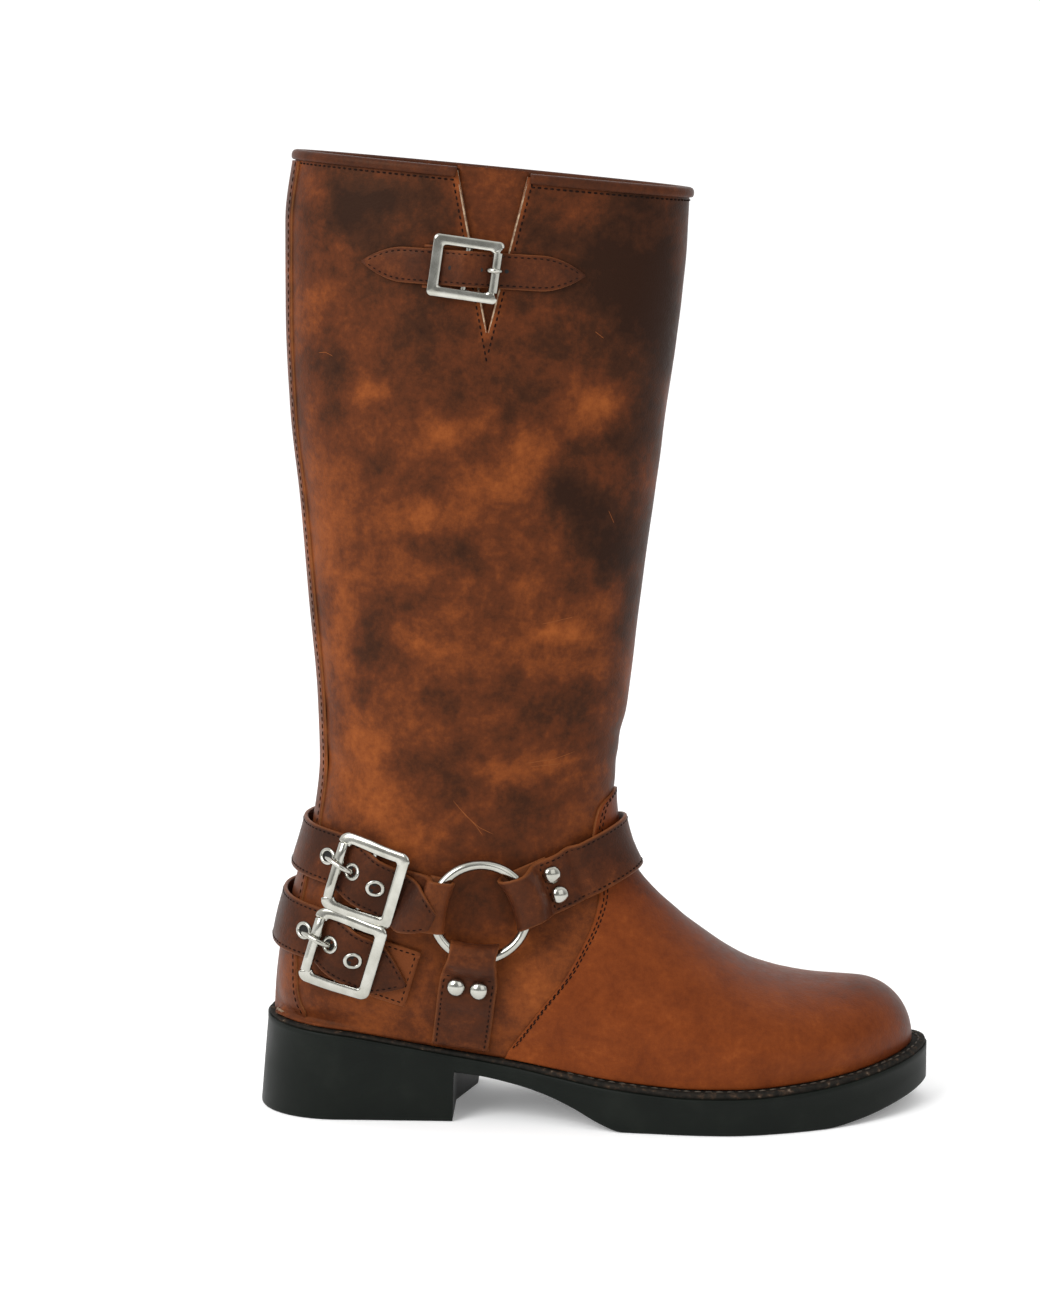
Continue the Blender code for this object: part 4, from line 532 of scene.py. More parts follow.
# Patches of the pull-up colour in the side view: middle, half sizes, tone. The tall dark bands along the
# shaft's front edge, near x 160 to 168, are painted shade where the shaft turns away from the lights.
LATERAL_PATCHES_AND_EDGE_SHADE = (
    (42, 375, 17, 11, -0.8), (29, 352, 7, 7, -0.3), (64, 328, 17, 11, -0.35), (131, 367, 16, 16, -0.4),
    (153, 337, 14, 17, -0.9), (124, 324, 10, 13, -0.6), (165, 344, 6, 34, -0.3), (108, 295, 12, 8, -0.6),
    (30, 283, 7, 9, -0.45), (54, 289, 9, 7, -0.35), (131, 262, 12, 11, -0.9), (136, 280, 11, 6, -0.45),
    (64, 263, 7, 8, -0.4), (68, 242, 14, 10, -0.75), (145, 242, 14, 11, -0.6), (32, 312, 7, 7, -0.35),
    (47, 301, 10, 6, 0.75), (138, 298, 12, 7, 0.75), (137, 289, 7, 7, 0.5), (36, 250, 12, 15, 0.6),
    (77, 254, 10, 8, 0.4), (120, 277, 8, 6, 0.5), (110, 264, 8, 7, 0.35), (75, 284, 21, 8, 0.2),
    (25, 378, 4, 16, 0.2), (38, 358, 6, 5, 0.3), (22, 327, 4, 15, 0.15), (157, 260, 4, 11, 0.3),
    (126, 352, 7, 5, 0.2), (106, 227, 14, 7, -0.5), (143, 235, 13, 15, -0.6), (68, 218, 10, 6, -0.55),
    (51, 199, 6, 11, -0.6), (81, 186, 17, 9, -0.3), (106, 178, 17, 14, -0.5), (128, 197, 9, 5, -0.35),
    (130, 169, 17, 13, -0.6), (59, 173, 10, 7, -0.4), (75, 152, 12, 10, -0.7), (113, 133, 14, 13, -0.65),
    (88, 137, 8, 7, -0.4), (137, 147, 7, 7, -0.35), (98, 120, 14, 7, -0.45), (45, 178, 4, 7, -0.35),
    (36, 213, 6, 28, 0.55), (77, 200, 13, 6, 0.6), (131, 205, 18, 3, 0.6), (147, 214, 7, 7, 0.5),
    (104, 147, 12, 7, 0.85), (126, 150, 14, 3, 0.6), (95, 226, 10, 5, 0.3), (52, 135, 16, 10, 0.55),
    (71, 122, 9, 6, 0.6), (42, 156, 9, 17, 0.4), (143, 181, 7, 17, 0.2), (100, 194, 11, 5, 0.15),
    (71, 361, 4, 3, 0.8), (60, 55, 30, 20, 0.35), (112, 60, 12, 20, 0.35), (92, 92, 16, 14, -0.3),
    (50, 372, 46, 22, -0.5), (168, 330, 24, 70, -0.85), (160, 225, 16, 60, -0.5), (150, 355, 34, 24, -0.3),
    (92, 335, 76, 52, -0.42), (124, 62, 12, 26, 0.3),
)
MEDIAL_PATCHES = (
    (120.0, 370.0, 26.0, 12.0, -0.8), (60.0, 340.0, 18.0, 26.0, 0.45), (110.0, 310.0, 30.0, 14.0, -0.4),
    (60.0, 270.0, 24.0, 16.0, -0.5), (130.0, 262.0, 20.0, 20.0, 0.5), (90.0, 225.0, 30.0, 14.0, 0.4),
    (60.0, 190.0, 20.0, 18.0, -0.35), (120.0, 170.0, 22.0, 16.0, 0.5), (80.0, 140.0, 26.0, 12.0, -0.3),
)
PATCH_STRENGTH = 0.7
MOTTLE_STRENGTH = 0.32
MOTTLE_SCALE = 0.05
# Both sides' patches fade into each other over this depth; the leather is paler beside the V cut.
SIDE_BLEND = 5.0
NOTCH_PALE = 0.55
NOTCH_PALE_WIDE = 2.2
# Ragged borders of the patches: scale and reach of the noise that moves them.
PATCH_DRIFT = ((0.05, 6.0), (0.15, 3.0), (0.27, 2.0))
PATCH_SEED = 7


def feather_height(x):
    return rubber_top(x) + welt_thick(x) + 2 * GAP + 0.2


def feather_edges(x):
    margin = smooth(FEATHER_MARGIN["x"], FEATHER_MARGIN["margin"], x)
    return plan_edges(x, margin, FEATHER_BACK, FEATHER_FRONT)


def bezier(points, count):
    t = np.linspace(0.0, 1.0, count)[:, None]
    a, b, c, d = (np.asarray(p, float) for p in points)
    return (1 - t) ** 3 * a + 3 * t * (1 - t) ** 2 * b + 3 * t * t * (1 - t) * c + t ** 3 * d


def read_line(line, share):
    """Points at the given shares of a line's length."""
    length = run_length(line)
    return at_length(line, length, np.asarray(share) * length[-1]).T


class Upper:
    """The outer surface of the upper, read at a station along the fan and a share round the section."""

    def __init__(self):
        table = {}
        for k, column in enumerate(SECTION_COLUMNS):
            table[column] = [row[k] for row in UPPER_SECTIONS]
        for k, height in enumerate(table["back_z"]):
            if height is None:
                table["back_z"][k] = float(feather_height(table["back_x"][k]))
        self.table = {column: np.asarray(values, float) for column, values in table.items()}
        back = np.stack((self.table["back_x"], self.table["back_z"]), axis=1)
        front = np.stack((self.table["front_x"], self.table["front_z"]), axis=1)
        moves = np.linalg.norm(np.diff(back, axis=0), axis=1) + np.linalg.norm(np.diff(front, axis=0), axis=1)
        self.knots = np.concatenate(([0.0], np.cumsum(moves / 2)))
        self.seat = self.knots[12]
        self.ball = self.knots[-1]
        self.toe = self.ball + (FEATHER_FRONT - self.table["back_x"][-1])

    def columns(self, station):
        if station <= self.ball:
            row = {name: float(smooth(self.knots, values, station)) for name, values in self.table.items()}
            if station > self.seat:
                row["back_z"] = float(feather_height(row["back_x"]))
            return row
        start = self.table["back_x"][-1]
        x = min(start + station - self.ball, FEATHER_FRONT)
        row = {name: float(values[-1]) for name, values in self.table.items()}
        row["back_x"] = x
        ahead = self.table["front_x"][-1] - start
        row["front_x"] = x + ahead * (1.0 - (x - start) / (FEATHER_FRONT - start))
        row["back_z"] = float(feather_height(x))
        past = np.clip((x - TOE_CAP_START) / (FEATHER_FRONT - TOE_CAP_START), 0.0, 1.0)
        share = float((1.0 - past ** TOE_CAP_ROUNDNESS) ** (1.0 / TOE_CAP_ROUNDNESS))
        ridge = float(smooth(TOE_RIDGE["x"], TOE_RIDGE["z"], x))
        row["front_z"] = row["back_z"] + (ridge - row["back_z"]) * share
        row["swing"] = float(smooth(TOE_RIDGE["x"], TOE_RIDGE["swing"], x))
        row["high"] += TOE_BLUNT * float(past)
        lateral, medial = feather_edges(x)
        row["lateral"] = row["swing"] - float(lateral) + TOE_SWELL * share
        row["medial"] = float(medial) - row["swing"] + TOE_SWELL * share
        return row

    def halves(self, station):
        """Lateral and medial half of the section at a station, as dense lines of places."""
        row = self.columns(station)
        back = np.array((row["back_x"], row["back_z"]))
        axis = np.array((row["front_x"], row["front_z"])) - back
        height = float(np.linalg.norm(axis))
        axis = axis / max(height, 1e-9)
        bottoms = (0.0, 0.0)
        if station > self.seat:
            edges = feather_edges(row["back_x"])
            bottoms = (max(row["swing"] - float(edges[0]), 0.0), max(float(edges[1]) - row["swing"], 0.0))
        widest = row["level"] * height
        lift = math.radians(row["rise"])
        lines = []
        for side, width, bottom in ((-1, row["lateral"], bottoms[0]), (1, row["medial"], bottoms[1])):
            width = max(width, bottom)
            low = row["low"]
            high = row["high"]
            first = (bottom + low * (width - bottom) * math.cos(lift), 0.45 * widest * math.sin(lift))
            below = bezier(((bottom, 0.0), first, (width, widest * (1 - low)), (width, widest)), 40)
            third = (width, widest + high * (height - widest))
            above = bezier(((width, widest), third, (high * width, height), (0.0, height)), 40)
            flat = np.vstack((below, above[1:]))
            place = np.zeros((len(flat), 3))
            place[:, 0] = back[0] + axis[0] * flat[:, 1]
            place[:, 1] = row["swing"] + side * flat[:, 0]
            place[:, 2] = back[1] + axis[1] * flat[:, 1]
            lines.append(place)
        return lines

    def row(self, station, shares):
        """Points round a section: 0 is the lateral bottom, 0.5 the ridge, 1 the medial bottom."""
        lateral, medial = self.halves(station)
        shares = np.asarray(shares, float)
        points = np.zeros((len(shares), 3))
        first = shares <= 0.5
        if first.any():
            points[first] = read_line(lateral, shares[first] * 2)
        if (~first).any():
            points[~first] = read_line(medial, (1 - shares[~first]) * 2)
        return points

    def stations(self, counts):
        """Stations from the collar to the toe, closer together at the round heel and toe."""
        ankle = self.knots[7]
        shaft = np.linspace(0.0, ankle, counts[0])
        heel = np.linspace(ankle, self.seat, counts[1] + 1)[1:]
        turn = np.linspace(0.0, 1.0, counts[2] + 1)[1:]
        foot = self.seat + (self.ball - self.seat) * (0.6 * turn + 0.4 * turn ** 2)
        angle = np.linspace(0.0, math.pi / 2, counts[3] + 1)[1:]
        toe = self.ball + (self.toe - self.ball) * np.sin(angle)
        return np.concatenate((shaft, heel, foot, toe))


def grid_normals(grid, closed_rows):
    """Outward normals of a grid of surface points, rows along the fan and columns round it."""
    along = np.gradient(grid, axis=0)
    across = np.gradient(grid, axis=1)
    for k in range(closed_rows):
        across[k, 0] = grid[k, 1] - grid[k, -2]
        across[k, -1] = across[k, 0]
    normal = np.cross(along, across)
    normal = normal / np.maximum(np.linalg.norm(normal, axis=2, keepdims=True), 1e-9)
    for k in range(closed_rows):
        both = normal[k, 0] + normal[k, -1]
        normal[k, 0] = both / np.linalg.norm(both)
        normal[k, -1] = normal[k, 0]
    normal[-1, :] = (1.0, 0.0, 0.0)
    return normal


class Skin:
    """The upper's surface for nearest points and smooth normals."""

    def __init__(self, grid, normal):
        rows, columns = grid.shape[:2]
        self.points = [Vector(p) for p in grid.reshape(-1, 3)]
        self.normals = [Vector(n) for n in normal.reshape(-1, 3)]
        self.faces = []
        for i in range(rows - 1):
            for j in range(columns - 1):
                a = i * columns + j
                self.faces.append((a, a + 1, a + columns + 1))
                self.faces.append((a, a + columns + 1, a + columns))
        self.tree = BVHTree.FromPolygons(self.points, self.faces)

    def read(self, place, index):
        corners = self.faces[index]
        weights = poly_3d_calc([self.points[k] for k in corners], place)
        normal = Vector((0.0, 0.0, 0.0))
        for weight, k in zip(weights, corners):
            normal += self.normals[k] * weight
        normal.normalize()
        return np.array(place), np.array(normal)

    def nearest(self, point):
        place, _, index, _ = self.tree.find_nearest(Vector(point))
        return self.read(place, index)

    def hit(self, start, direction):
        place, _, index, _ = self.tree.ray_cast(Vector(start), Vector(direction).normalized())
        return self.read(place, index)

    def side(self, x, z, side):
        """Point of the surface seen from one side at (x, z)."""
        return self.hit((x, side * 300.0, z), (0.0, -side, 0.0))


def clouds_and_edge_shade(points):
    """Tone of the pull-up leather at places, with painted shade along the shaft's front edge: soft patches
    with ragged borders, dark below zero.
    """
    points = np.asarray(points, float)
    flat = points.reshape(-1, 3)
    tone = np.zeros(len(flat))
    for k, (x, y, z) in enumerate(flat):
        drift = Vector((0.0, 0.0, 0.0))
        for scale, reach in PATCH_DRIFT:
            drift += noise.noise_vector((x * scale, y * scale, z * scale)) * reach
        x_here = x + drift.x
        z_here = z + drift.z
        share = 1.0 / (1.0 + math.exp(min(50.0, max(-50.0, y / SIDE_BLEND))))
        # The lateral table also holds painted shade: dark bands along the shaft's front edge.
        for patches, weight in ((LATERAL_PATCHES_AND_EDGE_SHADE, share), (MEDIAL_PATCHES, 1.0 - share)):
            for middle_x, middle_z, wide, high, value in patches:
                far = ((x_here - middle_x) / wide) ** 2 + ((z_here - middle_z) / high) ** 2
                if far < 6.0:
                    tone[k] += weight * value * math.exp(-far) * PATCH_STRENGTH
        mottle = MOTTLE_STRENGTH * min(1.0, max(0.15, (z - 90.0) / 60.0))
        spot = (x * MOTTLE_SCALE, y * MOTTLE_SCALE, z * MOTTLE_SCALE)
        tone[k] += mottle * noise.fractal(spot, 0.6, 2.0, 4)
        up = z - NOTCH_POINT[1]
        if y < NOTCH_SIDE_Y and up > -4.0:
            across = x - NOTCH_POINT[0]
            beside = max(slope_left * up - across, across - slope_right * up)
            tone[k] += NOTCH_PALE * math.exp(-((beside - 0.5) / NOTCH_PALE_WIDE) ** 2)
    return tone.reshape(points.shape[:-1])


def crease_depth(point):
    """How far the leather lies off its smooth form at a place."""
    x, y, z = point
    deep = 0.0
    for strength, across, up in WAVES:
        deep += strength * noise.noise((x * across, y * across, z * up))
    deep *= min(1.0, max(0.0, (z - WAVES_FADE[0]) / (WAVES_FADE[1] - WAVES_FADE[0])))
    for (x_a, z_a), (x_b, z_b), wide, depth, side in CREASES:
        if side * y < 0:
            continue
        run = np.array((x_b - x_a, z_b - z_a))
        size = float(np.linalg.norm(run))
        run = run / size
        away = np.array((x - x_a, z - z_a))
        along = float(np.dot(away, run)) / size
        off = abs(away[0] * run[1] - away[1] * run[0])
        past = max(0.0, -along, along - 1.0) * size
        far = (off / wide) ** 2 + (past / (wide * 1.6)) ** 2
        if far < 9.0:
            deep += depth * math.exp(-far)
    return deep


# A fixed seed for the noise that moves the patches' borders.
noise.seed_set(PATCH_SEED)
UPPER = Upper()
upper_stations = UPPER.stations(UPPER_ROWS)
upper_shares = np.linspace(0.0, 1.0, UPPER_PLACES)
upper_grid = np.stack([UPPER.row(s, upper_shares) for s in upper_stations])
closed_rows = int((upper_stations <= UPPER.seat + 1e-6).sum())
# The turn from the back seam into the bottom edge is eased over a few rows.
for _ in range(EASED_TIMES):
    eased = upper_grid.copy()
    for i in range(closed_rows - EASED_ROWS[0], closed_rows + EASED_ROWS[1]):
        eased[i, 2:-2] = upper_grid[i, 2:-2] / 2 + (upper_grid[i - 1, 2:-2] + upper_grid[i + 1, 2:-2]) / 4
    upper_grid = eased
upper_normals = grid_normals(upper_grid, closed_rows)
SKIN = Skin(upper_grid, upper_normals)
creased = upper_grid.copy()
for i in range(creased.shape[0]):
    for j in range(creased.shape[1]):
        creased[i, j] += upper_normals[i, j] * crease_depth(upper_grid[i, j])
creased[:closed_rows, -1] = creased[:closed_rows, 0]
upper = sheet("boot_upper", creased[::-1], {"tone_and_shade": clouds_and_edge_shade(creased)[::-1]})


def select_faces(piece, test):
    """Only the faces whose middle passes the test are selected, in the boot's millimetres."""
    bpy.ops.object.mode_set(mode="EDIT")
    bpy.ops.mesh.select_mode(type="FACE")
    bpy.ops.mesh.select_all(action="DESELECT")
    bpy.ops.object.mode_set(mode="OBJECT")
    for face in piece.data.polygons:
        face.select = bool(test(np.array(face.center) * 1000.0 - SHIFT))
    bpy.ops.object.mode_set(mode="EDIT")


def near_cut(middle):
    """Faces of the lateral wall round the V cut."""
    return middle[1] < NOTCH_SIDE_Y and 60.0 < middle[0] < 140.0 and middle[2] > NOTCH_POINT[1] - 12.0


def in_cut(middle):
    up = middle[2] - NOTCH_POINT[1]
    across = middle[0] - NOTCH_POINT[0]
    return middle[1] < NOTCH_SIDE_Y and up > 0.0 and slope_left * up < across < slope_right * up


# The V is cut out of the lateral wall along two lines.
cut_place = tuple(to_world((NOTCH_POINT[0], 0.0, NOTCH_POINT[1])))
for slope in (slope_left, slope_right):
    select_faces(upper, near_cut)
    bpy.ops.mesh.bisect(plane_co=cut_place, plane_no=(1.0, 0.0, -slope), threshold=1e-6)
    bpy.ops.object.mode_set(mode="OBJECT")
select_faces(upper, in_cut)
bpy.ops.mesh.delete(type="FACE")
bpy.ops.object.mode_set(mode="OBJECT")

# Grain, pores and rubbed places of the oiled leather, read by every leather material.
grain = bpy.data.node_groups.new("leather_grain", "ShaderNodeTree")
grain.interface.new_socket("Scale", in_out="INPUT", socket_type="NodeSocketFloat").default_value = 1.0
grain.interface.new_socket("Tone", in_out="OUTPUT", socket_type="NodeSocketFloat")
grain.interface.new_socket("Rub", in_out="OUTPUT", socket_type="NodeSocketFloat")
grain.interface.new_socket("Height", in_out="OUTPUT", socket_type="NodeSocketFloat")
entry = node(grain, "NodeGroupInput")
place = node(grain, "ShaderNodeTexCoord").outputs["Object"]
sized = node(
    grain, "ShaderNodeVectorMath", {0: place, "Scale": entry.outputs["Scale"]}, operation="SCALE"
).outputs["Vector"]
broad = node(
    grain, "ShaderNodeTexNoise",
    {"Vector": sized, "Scale": 48.0, "Detail": 6.0, "Roughness": 0.64, "Distortion": 0.4},
).outputs["Fac"]
speckle = node(
    grain, "ShaderNodeTexNoise", {"Vector": sized, "Scale": 330.0, "Detail": 6.0, "Roughness": 0.7},
).outputs["Fac"]
pores = node(grain, "ShaderNodeTexVoronoi", {"Vector": place, "Scale": 1250.0}).outputs["Distance"]
fuzz = node(grain, "ShaderNodeTexNoise", {"Vector": place, "Scale": 520.0, "Detail": 4.0}).outputs["Fac"]
mixed = node(grain, "ShaderNodeMath", {0: broad, 1: 0.6}, operation="MULTIPLY").outputs[0]
mixed = node(grain, "ShaderNodeMath", {0: speckle, 1: 0.4, 2: mixed}, operation="MULTIPLY_ADD").outputs[0]
height = node(grain, "ShaderNodeMath", {0: fuzz, 1: 0.8, 2: pores}, operation="MULTIPLY_ADD").outputs[0]
leave = node(grain, "NodeGroupOutput")
grain.links.new(mixed, leave.inputs["Tone"])
grain.links.new(speckle, leave.inputs["Rub"])
grain.links.new(height, leave.inputs["Height"])


def leather(name, stops, edge_colour, spread, rough, scale=1.0):
    """Oiled leather: the tone attribute and grain choose the colour, the edge attribute shows the raw cut;
    the tone attribute holds random tone and, on the vamp and the shaft's front edge, painted shade.
    """
    material, tree, shader = new_material(
        name, {"Specular IOR Level": 0.12, "Specular Tint": (1.0, 0.66, 0.45, 1.0)}
    )
    # Random tone of the leather, with painted shade on the vamp's ridge and the shaft's front edge.
    tone_and_shade = node(tree, "ShaderNodeAttribute", attribute_name="tone_and_shade").outputs["Fac"]
    edge = node(tree, "ShaderNodeAttribute", attribute_name="edge").outputs["Fac"]
    group = node(tree, "ShaderNodeGroup", node_tree=grain)
    group.inputs["Scale"].default_value = scale
    middle_part = {"From Min": 0.3, "From Max": 0.7}
    tone = node(
        tree, "ShaderNodeMapRange",
        {"Value": group.outputs["Tone"], "To Min": -spread, "To Max": spread, **middle_part}, clamp=False,
    ).outputs["Result"]
    value = node(tree, "ShaderNodeMath", {0: tone_and_shade, 1: 0.5, 2: tone}, operation="MULTIPLY_ADD").outputs[0]
    value = node(tree, "ShaderNodeMath", {0: value, 1: 0.5}, operation="ADD").outputs[0]
    colour = ramp(tree, value, stops)
    raw_colour = tuple(edge_colour) + (1.0,)
    mixed = node(tree, "ShaderNodeMix", {0: edge, 6: colour, 7: raw_colour}, data_type="RGBA")
    tree.links.new(mixed.outputs[2], shader.inputs["Base Color"])
    gloss = node(
        tree, "ShaderNodeMapRange",
        {"Value": group.outputs["Rub"], "To Min": rough - 0.07, "To Max": rough + 0.1, **middle_part},
    ).outputs["Result"]
    tree.links.new(gloss, shader.inputs["Roughness"])
    bump = node(
        tree, "ShaderNodeBump", {"Strength": 0.16, "Distance": 0.00035, "Height": group.outputs["Height"]}
    )
    tree.links.new(bump.outputs["Normal"], shader.inputs["Normal"])
    return material


SHAFT_STOPS = (
    (0.04, (0.017, 0.0065, 0.004)), (0.24, (0.036, 0.0118, 0.0055)), (0.46, (0.082, 0.0215, 0.0075)),
    (0.68, (0.16, 0.041, 0.0105)), (0.92, (0.255, 0.068, 0.0155)),
)
RAW_EDGE = (0.36, 0.15, 0.055)
shaft_leather = leather("leather_shaft", SHAFT_STOPS, RAW_EDGE, 0.27, 0.46)
FIBRE_STOPS = ((0.3, (0.12, 0.06, 0.03)), (0.62, (0.38, 0.27, 0.17)))
raw = speckled("leather_raw_edge", FIBRE_STOPS, 600.0, 2.0, {"Roughness": 0.75})[0]
upper.data.materials.clear()
for material in (shaft_leather, lining, raw):
    upper.data.materials.append(material)
bpy.context.view_layer.objects.active = upper
wall = upper.modifiers.new("wall", "SOLIDIFY")
wall.thickness = UPPER_WALL * 0.001
wall.offset = -1.0
wall.material_offset = 1
wall.material_offset_rim = 2
bpy.ops.object.modifier_apply(modifier="wall")
fasten(upper, "leather_brown", None, "upper_shaft", "upper_foot")

# Two rows of thread hold the gusset behind the V and meet under its point.
CUT_STITCH = 2.4
CUT_STITCH_TOP = 384.0


def cut_line(slope, side, offset):
    """A line beside the V cut from its top down to where both sides meet."""
    spots = []
    normals = []
    meet = NOTCH_POINT[1] - offset / max(abs(slope), 0.1) * 0.9
    for z in np.linspace(CUT_STITCH_TOP, meet, 60):
        x = NOTCH_POINT[0] + slope * (z - NOTCH_POINT[1]) + side * offset
        spot, normal = SKIN.side(x, z, -1)
        spots.append(spot + normal * (crease_depth(spot) + 0.12))
        normals.append(normal)
    return thread_row(spots, normals, 2.5)


seams = [cut_line(slope_left, -1, CUT_STITCH), cut_line(slope_right, 1, CUT_STITCH)]
sew("boot_notch_stitches", seams, "leather_brown", thread, 1.7, 0.34)


def ribbons(name, lines, wide, material):
    """Thin strips on the lateral side of the upper along lines of the side view, as one mesh."""
    points = []
    faces = []
    for line in lines:
        shares = np.linspace(0.0, 1.0, 40)
        read = [SKIN.side(x, z, -1) for x, z in read_line(np.asarray(line, float), shares)]
        for k, (spot, normal) in enumerate(read):
            along = read[min(k + 1, 39)][0] - read[max(k - 1, 0)][0]
            across = np.cross(normal, along)
            across *= wide / 2 * min(1.0, 0.2 + k / 5, 0.2 + (39 - k) / 5) / np.linalg.norm(across)
            spot = spot + normal * (crease_depth(spot) + 0.08)
            points += [spot - across, spot + across]
            if k:
                end = len(points)
                faces.append((end - 4, end - 3, end - 1, end - 2))
    return joined(name, points, faces, "leather_brown", material)


# The cut edges of the V are bare and pale, and a few scratches show the orange under the finish.
CUT_EDGE_TOP = 383.0
CUT_EDGE_OUT = 0.45
cut_edges = []
for slope, side in ((slope_left, -1), (slope_right, 1)):
    top_x = NOTCH_POINT[0] + slope * (CUT_EDGE_TOP - NOTCH_POINT[1]) + side * CUT_EDGE_OUT
    cut_edges.append(((top_x, CUT_EDGE_TOP), (NOTCH_POINT[0] + side * CUT_EDGE_OUT, NOTCH_POINT[1])))
ribbons("boot_cut_edges", cut_edges, 0.6, raw)
SCRATCHES = (
    ((83.0, 135.7), (88.0, 129.5), (93.6, 124.4), (99.2, 121.5)),
    ((86.5, 131.5), (92.0, 125.4), (95.0, 121.0)),
    ((29.0, 315.8), (32.0, 316.2), (35.1, 314.8)),
    ((139.8, 325.2), (143.2, 322.4)), ((145.4, 253.0), (147.6, 247.8)),
    ((112.0, 150.6), (124.0, 151.6), (132.0, 154.2)),
    ((114.0, 149.0), (127.0, 149.4)), ((119.0, 208.0), (132.0, 210.4)),
)
scuff = new_material(
    "leather_scuff", {"Base Color": (0.2, 0.06, 0.016, 1.0), "Roughness": 0.7, "Specular IOR Level": 0.1}
)[0]
ribbons("boot_scratches", SCRATCHES, 0.22, scuff)

# Gusset: a panel of the same leather that fills the V cut, level with the collar.
# It lies behind the wall, and the two rows of thread beside the cut hold it.
GUSSET_THICK = 1.4
GUSSET_PROUD = 2.6
GUSSET_BELOW = 6.0
# Margin behind the wall at the collar, and what is added to it further down.
GUSSET_MARGIN = (0.5, 5.5)
COLLAR_Z = 388.0


def share_at(station, x):
    """Share round the lateral half of a section where it lies at x."""
    shares = np.linspace(0.02, 0.48, 400)
    return float(np.interp(x, UPPER.row(station, shares)[:, 0], shares))


gusset_rows = []
for way in np.linspace(0.0, 1.0, 22):
    station = 0.5 + way * (COLLAR_Z - NOTCH_POINT[1] + GUSSET_BELOW)
    z_here = COLLAR_Z - station
    margin = GUSSET_MARGIN[0] + GUSSET_MARGIN[1] * min(1.0, way * 4.0)
    x_left = NOTCH_POINT[0] + slope_left * max(0.0, z_here - NOTCH_POINT[1]) - margin
    x_right = NOTCH_POINT[0] + slope_right * max(0.0, z_here - NOTCH_POINT[1]) + margin
    row = []
    for x_here in np.linspace(x_left, x_right, 14):
        spot, normal = SKIN.nearest(UPPER.row(station, [share_at(station, x_here)])[0])
        row.append(spot - normal * (UPPER_WALL + GAP + 0.3))
    gusset_rows.append(row)
gusset_rows.insert(0, [place + np.array((0.0, 0.0, GUSSET_PROUD)) for place in gusset_rows[0]])
gusset = sheet("boot_gusset", gusset_rows[::-1], {"tone_and_shade": clouds_and_edge_shade(gusset_rows)[::-1] * 0.3 - 0.05})
wall = gusset.modifiers.new("wall", "SOLIDIFY")
wall.thickness = GUSSET_THICK * 0.001
wall.offset = -1.0
bpy.ops.object.modifier_apply(modifier="wall")
fasten(gusset, "leather_brown", shaft_leather, "gusset")

# Collar binding: a strip of strap leather folded over the top edge and sewn through below its roll.
# It ends at both sides of the V cut.
BINDING_SECTION = (
    (0.1, 2.7), (0.75, 2.75), (1.2, 2.5), (1.5, 1.8), (1.6, 0.8), (1.4, -0.2), (0.85, -0.95), (0.0, -1.3),
    (-1.2, -1.4), (-2.5, -1.2), (-3.2, -0.5), (-3.45, 0.6), (-3.45, 3.6), (-3.1, 4.3), (-2.35, 4.3),
    (-1.0, 2.0),
)
STRAP_STOPS = (
    (0.1, (0.024, 0.0095, 0.0065)), (0.38, (0.038, 0.0125, 0.0068)), (0.6, (0.064, 0.0185, 0.008)),
    (0.85, (0.13, 0.036, 0.0115)),
)
ORANGE_EDGE = (0.16, 0.05, 0.016)
strap_leather = leather("leather_strap", STRAP_STOPS, ORANGE_EDGE, 0.28, 0.42, 1.6)


def capped(rows):
    """Rings of a tube, with both ends drawn in to a point."""
    rows = [list(row) for row in rows]
    rows.insert(0, [np.mean(rows[0], axis=0)] * len(rows[0]))
    rows.append([np.mean(rows[-1], axis=0)] * len(rows[-1]))
    return rows


left_end = NOTCH_POINT[0] + slope_left * (COLLAR_Z - NOTCH_POINT[1]) - 0.6
right_end = NOTCH_POINT[0] + slope_right * (COLLAR_Z - NOTCH_POINT[1]) + 0.6
run = np.linspace(share_at(0.0, right_end), 1.0 + share_at(0.0, left_end), 260)
binding_rows = []
seam = []
seam_normals = []
for share in run:
    at = share % 1.0
    top_point = UPPER.row(0.0, [at])[0]
    down = UPPER.row(4.4, [at])[0] - top_point
    down = down / np.linalg.norm(down)
    outward = SKIN.nearest(top_point)[1]
    binding_rows.append([top_point + outward * out + down * deep for out, deep in BINDING_SECTION])
    seam.append(top_point + down * 3.9 + outward * (crease_depth(top_point) + 0.12))
    seam_normals.append(outward)
binding = sheet("boot_collar_binding", capped(binding_rows), closed=True)
fasten(binding, "strap_brown", strap_leather, "collar_binding")
sew("boot_collar_stitches", [thread_row(seam, seam_normals, 2.5)], "strap_brown", thread, 1.7, 0.36)

# Vamp: an overlay of lighter leather round the forefoot, with a round tongue on the instep.
# Its cut edge stands up from the quarter and is held by two rows of thread.
VAMP_EDGE = {
    "x": (103.0, 117.0, 130.8, 141.5, 139.2, 141.4, 148.0),
    "z": (27.0, 47.5, 66.0, 92.0, 115.5, 128.0, 134.5),
}
VAMP_HIGH = 1.3
VAMP_STITCHES = (2.3, 4.1)
# Edge of an overlay: distance in from the cut, height.
OVERLAY_EDGE = ((0.0, -0.1), (0.0, 0.62), (0.22, 0.86), (0.7, 1.0), (1.5, 1.0))
vamp_line = np.stack((VAMP_EDGE["x"], VAMP_EDGE["z"]), axis=1)
vamp_reach = run_length(vamp_line)
vamp_steps = np.linspace(0.0, vamp_reach[-1], 300)
vamp_outline = np.stack([smooth(vamp_reach, vamp_line[:, k], vamp_steps) for k in range(2)], axis=1)


